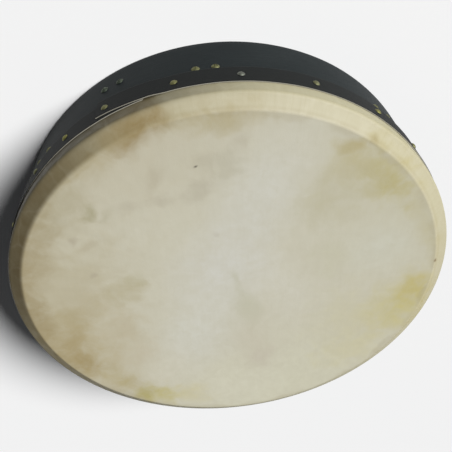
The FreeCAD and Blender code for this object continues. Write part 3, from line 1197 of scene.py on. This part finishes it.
@dataclass
class TrimStrip:
    """The strip of leathercloth, wound once round and lapped on its start."""

    start: float = 261.5
    end: float = 272.8 + 360.0
    ramp: float = 5.3
    thickness: float = 1.1 * MM
    width: float = 27.5 * MM
    edge_rounding: float = 0.3 * MM
    drift: float = 5.6 * MM
    step: float = 0.3
    sway: float = 0.25 * MM
    flare: float = 0.10 * MM
    pucker_depth: float = 0.45 * MM
    pucker_reach: float = 3.4 * MM
    gap: float = 0.22 * MM
    lap_gap: float = 0.1 * MM
    finish: Leathercloth = field(default_factory=Leathercloth)

    def __post_init__(self) -> None:
        """Reads the strip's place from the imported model."""
        self.skin_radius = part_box("goatskin_head")[1].x
        self.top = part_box("trim_strip")[1].z
        self.tacks = seats("trim_tacks", Tack.height)

    def section(self) -> tuple[np.ndarray, list[int]]:
        """The strip's cross-section.

        Returns:
            Its points, as a share across the thickness and a distance across
            the width, and the material of each stretch between them.
        """
        half = self.width / 2
        corner = self.edge_rounding
        turns = np.radians(np.linspace(0.0, 90.0, 4))
        flat = half - corner
        upper = [
            (1.0 - (1.0 - math.cos(t)) * corner / self.thickness, flat + corner * math.sin(t))
            for t in turns
        ]
        face = [(1.0, v) for v in np.linspace(-half + corner, half - corner, 23)[1:-1]]
        back = [(0.0, v) for v in np.linspace(half, -half, 9)]
        lower = [(share, -v) for share, v in upper[::-1]]
        points = face + upper + back + lower
        bands = [0] * (len(face) + len(upper) - 1) + [1]
        bands += [2] * (len(points) - 1 - len(bands)) + [0]
        return np.array(points), bands

    def loops(self) -> np.ndarray:
        """Carries the cross-section along the strip.

        Returns:
            The cross-section's points at each step.
        """
        section, _ = self.section()
        count = round((self.end - self.start) / self.step)
        degrees = np.linspace(self.start, self.end, count + 1)[:, None]
        angle = np.radians(degrees)
        share, across = section[None, :, 0], section[None, :, 1]
        lap_start = self.start + 360.0
        climb = smooth_step(degrees, lap_start - self.ramp, lap_start - 0.8)
        base = self.skin_radius + self.gap + climb * (self.thickness + self.lap_gap)
        slip = np.clip((degrees - lap_start) / (self.end - lap_start), 0.0, 1.0) * self.drift
        centre = self.top - self.width / 2 - slip + self.sway * Wander(21, 4, 19).at(angle)
        width = 1.0 + 0.006 * Wander(22, 3, 24).at(angle)
        level = centre + across * width
        lifted = np.abs(across / (self.width / 2)) ** 3
        ripple = Wander(23, 14, 60).at(angle, np.sign(across) * 2.0)
        flare = self.flare * lifted * (1.0 + ripple) / 2
        dent = np.zeros_like(level)
        for tack in self.tacks:
            along = (angle - tack.angle + math.pi) % math.tau - math.pi
            away = np.hypot(along * tack.radius, level - tack.level)
            on_layer = np.abs(base + self.thickness - tack.radius) < 0.8 * MM
            dent += on_layer * self.pucker_depth * np.exp(-((away / self.pucker_reach) ** 2))
        radius = base + share * self.thickness + flare - share * dent
        x, y = radius * np.cos(angle), radius * np.sin(angle)
        return np.stack(np.broadcast_arrays(x, y, level), axis=-1)

    def build(self) -> bpy.types.Object:
        """Makes the strip.

        Returns:
            The strip, as a plain mesh.
        """
        materials = [self.finish.face(), self.finish.cut_edge(), self.finish.backing()]
        bands = self.section()[1]
        strip = bridged(
            "trim_strip_leathercloth", self.loops(), materials, bands=bands, cap_band=1
        )
        return dressed(strip, Body.FRAME.value, Slot.TRIM, "trim_strip")


@dataclass
class Tack:
    """A domed tack, made at the origin with its head along +Z."""

    height: ClassVar[float] = 1.9 * MM
    radius: float = 3.4 * MM
    lip: float = 0.25 * MM
    shank: float = 0.7 * MM
    length: float = 2.5 * MM
    directions: int = 32

    def build(self, material: bpy.types.Material) -> bpy.types.Object:
        """Makes the pattern that the tacks are copied from.

        Args:
            material: their material.

        Returns:
            One tack, pointing outwards along +Z.
        """
        crown = self.height - self.lip
        dome_radius = (self.radius**2 + crown**2) / (2 * crown)
        centre = self.height - dome_radius
        edge = math.degrees(math.asin(self.radius / dome_radius))
        dome = arc((0.0, centre), dome_radius, 90.0 - 1.5, 90.0 - edge, 9)
        rim = [(self.radius + 0.08 * MM, self.lip * 0.5), (self.radius - 0.1 * MM, 0.0)]
        point = (self.shank * 0.2, -self.length * 1.2)
        profile = [*dome, *rim, (self.shank, 0.0), (self.shank, -self.length), point]
        loops = turned(profile, full_turn(self.directions))
        return bridged("tack_pattern", loops, [material], sharp=35.0)


@dataclass
class CrossHeadScrew:
    """A domed cross-head screw, made at the origin with its head along +Z."""

    height: ClassVar[float] = 2.1 * MM
    radius: float = 3.8 * MM
    lip: float = 0.35 * MM
    shank: float = 2.0 * MM
    length: float = 3.0 * MM
    slot_reach: float = 2.15 * MM
    slot_width: float = 0.95 * MM
    slot_depth: float = 1.5 * MM
    slot_taper: float = 0.55

    def cross(self, angles: np.ndarray) -> np.ndarray:
        """The cross's outline.

        Args:
            angles: the directions about the head's middle.

        Returns:
            The outline's distance from the middle in each.
        """
        half = self.slot_width / 2
        toward = np.abs((angles + math.pi / 4) % (math.pi / 2) - math.pi / 4)
        end = self.slot_reach / np.cos(toward)
        side = half / np.maximum(np.sin(toward), 1e-6)
        return np.minimum(end, side)

    def directions(self) -> np.ndarray:
        """Directions that fall on every corner of the cross.

        Returns:
            The directions, in radians.
        """
        half = self.slot_width / 2
        tip = math.atan2(half, self.slot_reach)
        quarter = [*np.linspace(-tip, tip, 5)[:-1], *np.linspace(tip, math.pi / 2 - tip, 13)[:-1]]
        return np.concatenate([np.array(quarter) + math.pi / 2 * i for i in range(4)])

    def build(self, material: bpy.types.Material) -> bpy.types.Object:
        """Makes the pattern that the screws are copied from.

        Args:
            material: their material.

        Returns:
            One screw, pointing outwards along +Z.
        """
        angles = self.directions()
        cross = self.cross(angles)
        crown = self.height - self.lip
        dome_radius = (self.radius**2 + crown**2) / (2 * crown)

        def dome(reach: np.ndarray) -> np.ndarray:
            """The head's level at a distance from its middle."""
            return self.lip + np.sqrt(dome_radius**2 - reach**2) - (dome_radius - crown)

        even = np.ones_like(cross)
        rows = [
            (cross * self.slot_taper * 0.05, even * (self.height - self.slot_depth)),
            (cross * self.slot_taper, even * (self.height - self.slot_depth * 0.9)),
            (cross * 0.96, dome(cross) - 0.12 * MM),
        ]
        for share in (0.0, 0.12, 0.35, 0.6, 0.85, 1.0):
            reach = cross + 0.08 * MM + (self.radius - cross - 0.08 * MM) * share
            rows.append((reach, dome(reach)))
        for radius, level in (
            (self.radius + 0.05 * MM, self.lip * 0.4),
            (self.radius - 0.1 * MM, 0.0),
            (self.shank, 0.0),
            (self.shank, -self.length),
            (self.shank * 0.3, -self.length * 1.2),
        ):
            rows.append((even * radius, even * level))
        around = np.column_stack([np.cos(angles), np.sin(angles)])
        loops = [np.column_stack([around * reach[:, None], level]) for reach, level in rows]
        return bridged("screw_pattern", np.array(loops), [material], sharp=35.0)


class Fastenings:
    """Copies of one fastening, set at its seats by a node tree."""

    def __init__(self, name: str, tilt: float, spin: bool, spread: float, seed: int) -> None:
        """Sets how unevenly a hand drives them.

        Args:
            name: the piece's name.
            tilt: the most that a head leans, in degrees.
            spin: whether each is turned to a chance angle.
            spread: how far sizes differ, as a share.
            seed: the chance's seed.
        """
        self.name = name
        self.tilt = math.radians(tilt)
        self.spin = math.pi if spin else 0.0
        self.spread = spread
        self.seed = seed

    def tree(self) -> tuple[bpy.types.NodeTree, dict[str, str]]:
        """Builds the node tree.

        Returns:
            The tree, and its inputs' identifiers by name.
        """
        tree = bpy.data.node_groups.new(self.name + "_setting", "GeometryNodeTree")
        sockets = {}
        for label, kind in (
            ("Seats", "NodeSocketGeometry"),
            ("Pattern", "NodeSocketObject"),
            ("Lean", "NodeSocketVector"),
            ("Smallest", "NodeSocketFloat"),
            ("Largest", "NodeSocketFloat"),
            ("Seed", "NodeSocketInt"),
            ("Finish", "NodeSocketMaterial"),
        ):
            made = tree.interface.new_socket(name=label, in_out="INPUT", socket_type=kind)
            sockets[label] = made.identifier
        tree.interface.new_socket(name="Set", in_out="OUTPUT", socket_type="NodeSocketGeometry")
        nodes, links = tree.nodes, tree.links
        given = nodes.new("NodeGroupInput")
        result = nodes.new("NodeGroupOutput")
        pattern = nodes.new("GeometryNodeObjectInfo")
        outwards = nodes.new("GeometryNodeInputNamedAttribute")
        outwards.data_type = "FLOAT_VECTOR"
        outwards.inputs["Name"].default_value = "outwards"
        facing = nodes.new("FunctionNodeAlignRotationToVector")
        facing.axis = "Z"
        backwards = nodes.new("ShaderNodeVectorMath")
        backwards.operation = "SCALE"
        backwards.inputs["Scale"].default_value = -1.0
        lean = nodes.new("FunctionNodeRandomValue")
        lean.data_type = "FLOAT_VECTOR"
        size = nodes.new("FunctionNodeRandomValue")
        size.data_type = "FLOAT"
        leaning = nodes.new("FunctionNodeEulerToRotation")
        rotation = nodes.new("FunctionNodeRotateRotation")
        rotation.rotation_space = "LOCAL"
        copies = nodes.new("GeometryNodeInstanceOnPoints")
        real = nodes.new("GeometryNodeRealizeInstances")
        finish = nodes.new("GeometryNodeSetMaterial")
        for source, output, target, entry in (
            (given, "Pattern", pattern, "Object"),
            (given, "Lean", backwards, 0),
            (backwards, 0, lean, 0),
            (given, "Lean", lean, 1),
            (given, "Seed", lean, "Seed"),
            (given, "Smallest", size, 2),
            (given, "Largest", size, 3),
            (given, "Seed", size, "Seed"),
            (outwards, 0, facing, "Vector"),
            (lean, 0, leaning, 0),
            (facing, 0, rotation, "Rotation"),
            (leaning, 0, rotation, "Rotate By"),
            (given, "Seats", copies, "Points"),
            (pattern, "Geometry", copies, "Instance"),
            (rotation, 0, copies, "Rotation"),
            (size, 1, copies, "Scale"),
            (copies, 0, real, 0),
            (real, 0, finish, "Geometry"),
            (given, "Finish", finish, "Material"),
            (finish, 0, result, 0),
        ):
            links.new(source.outputs[output], target.inputs[entry])
        return tree, sockets

    def build(
        self, places: Sequence[Seat], pattern: bpy.types.Object, tints: Sequence[Colour]
    ) -> bpy.types.Object:
        """Sets the copies.

        Args:
            places: where they stand.
            pattern: the fastening that is copied. It is removed.
            tints: a tint for each, in order.

        Returns:
            One plain mesh of all of them.
        """
        material = pattern.data.materials[0]
        points = bpy.data.meshes.new(self.name + "_seats")
        points.from_pydata([seat.point() for seat in places], [], [])
        facing = points.attributes.new("outwards", "FLOAT_VECTOR", "POINT")
        facing.data.foreach_set("vector", [part for seat in places for part in seat.outwards()])
        tint = points.attributes.new("tint", "FLOAT_VECTOR", "POINT")
        tint.data.foreach_set("vector", [part for colour in tints for part in colour])
        holder = bpy.data.objects.new(self.name + "_seats", points)
        bpy.context.scene.collection.objects.link(holder)
        tree, sockets = self.tree()
        modifier = holder.modifiers.new("setting", "NODES")
        modifier.node_group = tree
        modifier[sockets["Pattern"]] = pattern
        modifier[sockets["Lean"]] = (self.tilt, self.tilt, self.spin)
        modifier[sockets["Smallest"]] = 1.0 - self.spread
        modifier[sockets["Largest"]] = 1.0 + self.spread
        modifier[sockets["Seed"]] = self.seed
        modifier[sockets["Finish"]] = material
        evaluated = holder.evaluated_get(bpy.context.evaluated_depsgraph_get())
        mesh = bpy.data.meshes.new_from_object(evaluated)
        made = bpy.data.objects.new(self.name, mesh)
        bpy.context.scene.collection.objects.link(made)
        holder.modifiers.clear()
        bpy.data.objects.remove(holder)
        bpy.data.objects.remove(pattern)
        return made


@dataclass
class TunerBolt:
    """A socket-head bolt with a cut thread."""

    number: int
    thread_radius: float = 2.95 * MM
    core_radius: float = 2.45 * MM
    pitch: float = 1.0 * MM
    head_height: float = 6.0 * MM
    head_radius: float = 5.0 * MM
    knurl_depth: float = 0.14 * MM
    socket_radius: float = 2.9 * MM
    socket_depth: float = 3.2 * MM
    directions: int = 24

    def build(self, material: bpy.types.Material) -> bpy.types.Object:
        """Makes the bolt on its own body.

        Args:
            material: its material.

        Returns:
            The bolt, as a plain mesh.
        """
        node = f"tuner_bolt_{self.number}"
        low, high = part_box(node)
        angles = full_turn(self.directions)
        around = np.stack([np.cos(angles), np.sin(angles)], axis=-1)
        shoulder, tip = low.z + self.head_height, high.z
        turns = int((tip - shoulder) / self.pitch) + 2
        lead = angles / math.tau * self.pitch
        to_flat = (angles + math.pi / 6) % (math.pi / 3) - math.pi / 6
        socket = self.socket_radius / np.cos(to_flat) * math.cos(math.pi / 6)
        even = np.ones_like(angles)
        knurl = self.head_radius - self.knurl_depth * (np.arange(self.directions) % 2)
        rows = [
            (socket * 0.05, even * (low.z + self.socket_depth)),
            (socket, even * (low.z + self.socket_depth)),
            (socket, even * (low.z + 0.2 * MM)),
            (socket + 0.3 * MM, even * low.z),
            (even * (self.head_radius - 0.7 * MM), even * low.z),
            (even * self.head_radius - self.knurl_depth, even * (low.z + 0.7 * MM)),
            (knurl, even * (low.z + 0.9 * MM)),
            (knurl, even * (shoulder - 0.5 * MM)),
            (even * (self.head_radius - 0.35 * MM), even * shoulder),
            (even * self.thread_radius, even * shoulder),
        ]
        root, crest = self.core_radius, self.thread_radius
        for turn in range(-1, turns):
            for share, radius in ((0.0, root), (0.12, root), (0.45, crest), (0.62, crest)):
                level = shoulder + (turn + share) * self.pitch + lead
                kept = np.clip(level, shoulder, tip - 0.5 * MM)
                rows.append((np.where(kept == level, radius, root), kept))
        rows.append((even * (root - 0.2 * MM), even * tip))
        loops = [np.column_stack([around * reach[:, None], level]) for reach, level in rows]
        shaped = np.array(loops) + np.array([(low.x + high.x) / 2, (low.y + high.y) / 2, 0.0])
        bolt = bridged(f"{node}_threaded", shaped, [material], sharp=35.0)
        tidy(bolt)
        return dressed(bolt, node, Slot.BOLTS, node)


def tidy(piece: bpy.types.Object, distance: float = 0.01 * MM) -> None:
    """Merges points that lie together and drops faces of no size.

    Args:
        piece: the piece, which is changed in place.
        distance: how close points are to be merged, in metres.
    """
    mesh = bmesh.new()
    mesh.from_mesh(piece.data)
    bmesh.ops.remove_doubles(mesh, verts=mesh.verts, dist=distance)
    bmesh.ops.dissolve_degenerate(mesh, edges=mesh.edges, dist=distance)
    mesh.to_mesh(piece.data)
    mesh.free()


@dataclass
class BentHoop:
    """A hoop bent from ply, with rounded edges and its scarf joint."""

    node: str
    name: str
    wall: float
    top_roundings: tuple[float, float]
    foot_roundings: tuple[float, float]
    seam: float
    slot: Slot
    body: Body
    foot_lift: float = 0.0
    sway: float = 0.15 * MM
    seam_depth: float = 0.18 * MM
    seam_width: float = 0.5 * MM
    seam_lean: float = 0.05
    directions: int = 480

    def profile(self) -> list[Point]:
        """The hoop's half section.

        Returns:
            Its points, anticlockwise from the outer foot.
        """
        low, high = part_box(self.node)
        foot = low.z + self.foot_lift
        outer, inner = high.x, high.x - self.wall
        out_top, in_top = self.top_roundings
        out_foot, in_foot = self.foot_roundings
        steps = 6
        outer_foot = arc((outer - out_foot, foot + out_foot), out_foot, -90.0, 0.0, steps)
        outer_top = arc((outer - out_top, high.z - out_top), out_top, 0.0, 90.0, steps)
        inner_top = arc((inner + in_top, high.z - in_top), in_top, 90.0, 180.0, steps)
        inner_foot = arc((inner + in_foot, foot + in_foot), in_foot, 180.0, 270.0, steps)
        wall_steps = max(2, round((high.z - low.z) / (8 * MM)))
        points = [*outer_foot, *straight(outer_foot[-1], outer_top[0], wall_steps), *outer_top]
        points += [*straight(outer_top[-1], inner_top[0], 3), *inner_top]
        points += [*straight(inner_top[-1], inner_foot[0], wall_steps), *inner_foot]
        return points + straight(inner_foot[-1], outer_foot[0], 3)

    def directions_with_seam(self) -> np.ndarray:
        """Directions that crowd at the scarf joint.

        Returns:
            The directions, in radians and in order.
        """
        seam = math.radians(self.seam)
        half = self.seam_width / 2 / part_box(self.node)[1].x
        close = seam + half * np.array([-2.0, -1.0, -0.5, 0.0, 0.5, 1.0, 2.0])
        even = full_turn(self.directions)
        apart = np.abs((even - seam + math.pi) % math.tau - math.pi) > 3 * half
        return np.sort(np.concatenate([even[apart], close % math.tau]))

    def build(self, material: bpy.types.Material) -> bpy.types.Object:
        """Makes the hoop.

        Args:
            material: its material.

        Returns:
            The hoop, as a plain mesh.
        """
        loops = turned(self.profile(), self.directions_with_seam())
        x, y, z = np.moveaxis(loops, -1, 0)
        angle, radius = np.arctan2(y, x), np.hypot(x, y)
        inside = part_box(self.node)[1].x - self.wall / 2
        away = (angle - math.radians(self.seam) + math.pi) % math.tau - math.pi
        lean = z * self.seam_lean
        groove = self.seam_depth * np.exp(-(((away * radius - lean) / (self.seam_width / 2)) ** 2))
        sway = self.sway * Wander(31, 2, 8).at(angle, z / (40 * MM))
        change = np.where(radius > inside, -groove, groove) - np.abs(sway)
        grown = 1.0 + change / radius
        loops = np.stack([x * grown, y * grown, z], axis=-1)
        hoop = bridged(self.name, loops, [material], hoop=True, sharp=40.0)
        return dressed(hoop, self.body.value, self.slot, self.node)


@dataclass
class EasedPiece:
    """A machined or sawn piece with its sharp edges eased."""

    node: str
    name: str
    body: str
    slot: Slot
    width: float = 0.5 * MM
    segments: int = 3
    sharp: float = 28.0

    def merged(self) -> bpy.types.Mesh:
        """Copies the node's mesh and merges its loose triangles to faces.

        Returns:
            The copy.
        """
        mesh = bmesh.new()
        mesh.from_mesh(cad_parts[self.node].data)
        bmesh.ops.remove_doubles(mesh, verts=mesh.verts, dist=0.005 * MM)
        bmesh.ops.dissolve_limit(
            mesh, angle_limit=math.radians(1.0), verts=mesh.verts, edges=mesh.edges
        )
        made = bpy.data.meshes.new(self.name)
        mesh.to_mesh(made)
        mesh.free()
        return made

    def build(self, material: bpy.types.Material) -> bpy.types.Object:
        """Makes the piece.

        Args:
            material: its material.

        Returns:
            The piece, as a plain mesh.
        """
        holder = bpy.data.objects.new(self.name, self.merged())
        bpy.context.scene.collection.objects.link(holder)
        bevel = holder.modifiers.new("eased", "BEVEL")
        bevel.width = self.width
        bevel.segments = self.segments
        bevel.limit_method = "ANGLE"
        bevel.angle_limit = math.radians(self.sharp)
        evaluated = holder.evaluated_get(bpy.context.evaluated_depsgraph_get())
        mesh = bpy.data.meshes.new_from_object(evaluated)
        holder.modifiers.clear()
        holder.data = mesh
        mesh.materials.clear()
        mesh.materials.append(material)
        mesh.shade_smooth()
        mesh.set_sharp_from_angle(angle=math.radians(50.0))
        return dressed(holder, self.body, self.slot, self.node)


def carried(node: str, material: bpy.types.Material) -> None:
    """Gives a CAD node its material.

    Args:
        node: its name.
        material: its material.
    """
    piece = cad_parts[node]
    piece.data.materials.clear()
    piece.data.materials.append(material)
    report(piece)


# -------------------------------------------------------------------- stage


@dataclass
class Studio:
    """The floor, the lights and the camera."""

    camera_azimuth: float = -21.48
    camera_elevation: float = 43.22
    camera_distance: float = 0.5929
    aim: tuple[float, float] = (-0.0342, -0.0822)
    roll: float = 171.32
    focal_pixels: float = 550.0
    floor_size: float = 30.0

    def camera(self, rim_level: float) -> None:
        """Makes the camera.

        Args:
            rim_level: the level of the head's rim.
        """
        data = bpy.data.cameras.new("camera")
        data.sensor_width = 36.0
        data.lens = self.focal_pixels / IMAGE_WIDTH * data.sensor_width
        data.clip_start, data.clip_end = 0.01, 100.0
        camera = bpy.data.objects.new("camera", data)
        bpy.context.scene.collection.objects.link(camera)
        a, e = math.radians(self.camera_azimuth), math.radians(self.camera_elevation)
        out = Vector((math.sin(a) * math.cos(e), -math.cos(a) * math.cos(e), math.sin(e)))
        camera.location = Vector((0.0, 0.0, rim_level)) + out * self.camera_distance
        view = Vector((*self.aim, rim_level)) - camera.location
        level = view.to_track_quat("-Z", "Y").to_matrix()
        turn = Matrix.Rotation(math.radians(self.roll), 3, "Z")
        camera.matrix_world = Matrix.Translation(camera.location) @ (level @ turn).to_4x4()
        bpy.context.scene.camera = camera

    def key(
        self,
        azimuth: float = 194.0,
        elevation: float = 36.0,
        spread: float = 24.0,
        power: float = 5.05,
    ) -> None:
        """Makes the soft main light, so far off that it falls evenly.

        Args:
            azimuth: where it stands about the drum's axis, in degrees.
            elevation: how high, in degrees.
            spread: its width seen from the drum, in degrees.
            power: its power, in watts on each square metre.
        """
        data = bpy.data.lights.new("key", "SUN")
        data.angle = math.radians(spread)
        data.energy = power
        lamp = bpy.data.objects.new("key", data)
        bpy.context.scene.collection.objects.link(lamp)
        a, e = math.radians(azimuth), math.radians(elevation)
        out = Vector((math.cos(a) * math.cos(e), math.sin(a) * math.cos(e), math.sin(e)))
        lamp.location = out
        lamp.rotation_euler = (-out).to_track_quat("-Z", "Y").to_euler()

    def surround(self, seen: float = 0.86, given: float = 0.05) -> None:
        """Makes a pale backdrop that gives little light of its own.

        Args:
            seen: its brightness in the picture.
            given: its brightness as a light.
        """
        world = bpy.data.worlds.new("studio")
        world.use_nodes = True
        nodes, links = world.node_tree.nodes, world.node_tree.links
        background = nodes["Background"]
        background.inputs["Color"].default_value = (0.95, 0.97, 1.0, 1.0)
        path = nodes.new("ShaderNodeLightPath")
        strength = nodes.new("ShaderNodeMapRange")
        strength.inputs["To Min"].default_value = given
        strength.inputs["To Max"].default_value = seen
        links.new(path.outputs["Is Camera Ray"], strength.inputs["Value"])
        links.new(strength.outputs[0], background.inputs["Strength"])
        bpy.context.scene.world = world

    def floor(self) -> None:
        """Makes the plain pale floor."""
        half = self.floor_size / 2
        corners = [(-half, -half, 0.0), (half, -half, 0.0), (half, half, 0.0), (-half, half, 0.0)]
        mesh = bpy.data.meshes.new("floor")
        mesh.from_pydata(corners, [], [(0, 1, 2, 3)])
        s = Shading("floor")
        mesh.materials.append(s.finish(Base_Color=(0.9, 0.9, 0.9), Roughness=0.9))
        floor = bpy.data.objects.new("floor", mesh)
        bpy.context.scene.collection.objects.link(floor)

    def build(self, rim_level: float) -> None:
        """Sets the whole stage.

        Args:
            rim_level: the level of the head's rim.
        """
        bpy.context.scene.view_settings.view_transform = "Standard"
        self.surround()
        self.key()
        self.floor()
        self.camera(rim_level)


# --------------------------------------------------------------------- main

NICKEL: Colour = (0.68, 0.74, 1.42)
NICKEL_TACK = 3
TARNISHED: Colour = (0.36, 0.44, 0.76)
HANDLED: Colour = (0.80, 0.82, 0.92)
TUNERS = 8


def worn(number: int) -> Colour:
    """A tint that differs a little from tack to tack."""
    share = 0.5 + 0.5 * math.sin(2.4 * number)
    return (0.80 + 0.30 * share, 0.82 + 0.26 * share, 0.85 + 0.20 * (1.0 - share))


def hoops() -> None:
    """Makes the shell and the tuning ring."""
    black = Lacquer(
        name="shell_lacquer",
        colour=(0.0060, 0.0098, 0.0108),
        worn=(0.0084, 0.0126, 0.0136),
        gloss=0.065,
        rubbed_to=3.2 * MM,
    )
    shell = BentHoop(
        node="frame_shell",
        name="frame_shell_bent_ply",
        wall=9 * MM,
        top_roundings=(2.0 * MM, 1.0 * MM),
        foot_roundings=(2.5 * MM, 2.5 * MM),
        seam=52.0,
        slot=Slot.SHELL,
        body=Body.FRAME,
    )
    shell.build(black.material())
    ring = BentHoop(
        node="tuning_ring",
        name="tuning_ring_bent_ply",
        wall=10 * MM,
        top_roundings=(4.5 * MM, 1.5 * MM),
        foot_roundings=(0.5 * MM, 0.5 * MM),
        seam=128.0,
        slot=Slot.RING,
        body=Body.RING,
        foot_lift=0.06 * MM,
    )
    inner_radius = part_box("tuning_ring")[1].x - ring.wall
    ring.build(Plywood().material(inner_radius, ring.wall))


def tacks_and_screws() -> None:
    """Makes the tacks and both sets of screws, all of one old brass."""
    brass = Metal(
        name="brass",
        bright=(0.235, 0.23, 0.10),
        dull=(0.125, 0.125, 0.055),
        roughness=0.52,
        grain=2 * MM,
        tinted=True,
    )
    old_brass = brass.material()
    tacks = Fastenings("trim_tacks_domed", tilt=5.0, spin=False, spread=0.02, seed=5)
    places = seats("trim_tacks", Tack.height)
    tints = [NICKEL if number == NICKEL_TACK else worn(number) for number in range(len(places))]
    made = tacks.build(places, Tack().build(old_brass), tints)
    dressed(made, Body.FRAME.value, Slot.TACKS, "trim_tacks")
    for node, tint in (("tuner_block_screws", HANDLED), ("crossbar_end_screws", TARNISHED)):
        screws = Fastenings(node + "_cross_head", tilt=1.5, spin=True, spread=0.0, seed=7)
        places = seats(node, CrossHeadScrew.height)
        made = screws.build(places, CrossHeadScrew().build(old_brass), [tint] * len(places))
        dressed(made, Body.FRAME.value, Slot.SCREWS, node)


def tuners(bolt_finish: bpy.types.Material, steel_finish: bpy.types.Material) -> None:
    """Makes the bolts, their blocks and the plates over them.

    Args:
        bolt_finish: the bolts' material.
        steel_finish: the blocks' and the plates' material.
    """
    for number in range(1, TUNERS + 1):
        TunerBolt(number).build(bolt_finish)
        node = f"tuner_block_{number}"
        EasedPiece(node, node + "_eased", Body.FRAME.value, Slot.BLOCKS).build(steel_finish)
    plates = EasedPiece(
        "wear_plates", "wear_plates_eased", Body.RING.value, Slot.PLATES, width=0.2 * MM
    )
    plates.build(steel_finish)


def crossbars(bolt_finish: bpy.types.Material) -> None:
    """Makes the two bars, and gives the screw between them its material.

    Args:
        bolt_finish: the screw's material.
    """
    carried("crossbar_centre_screw", bolt_finish)
    for node, grain in (("crossbar_x", (1.0, 14.0, 14.0)), ("crossbar_y", (14.0, 1.0, 14.0))):
        lacquer = Lacquer(
            name=node + "_lacquer",
            colour=(0.013, 0.0125, 0.012),
            worn=(0.026, 0.024, 0.021),
            roughness=0.42,
            gloss=0.30,
            grain=grain,
        )
        bar = EasedPiece(node, node + "_eased", Body.FRAME.value, Slot.BARS, width=1.2 * MM)
        bar.build(lacquer.material())


def main() -> None:
    """Builds every piece in order."""
    logging.basicConfig(level=logging.INFO, format="%(message)s")
    Studio().build(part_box("frame_shell")[1].z)
    hoops()
    SkinHead().build()
    TrimStrip().build()
    tacks_and_screws()
    blackened = Metal("bolt_plate", (0.34, 0.34, 0.35), (0.20, 0.20, 0.21), 0.4).material()
    steel = Metal("zinc_plate", (0.62, 0.63, 0.64), (0.40, 0.40, 0.41), 0.35).material()
    tuners(blackened, steel)
    crossbars(blackened)


if __name__ == "__main__":
    main()
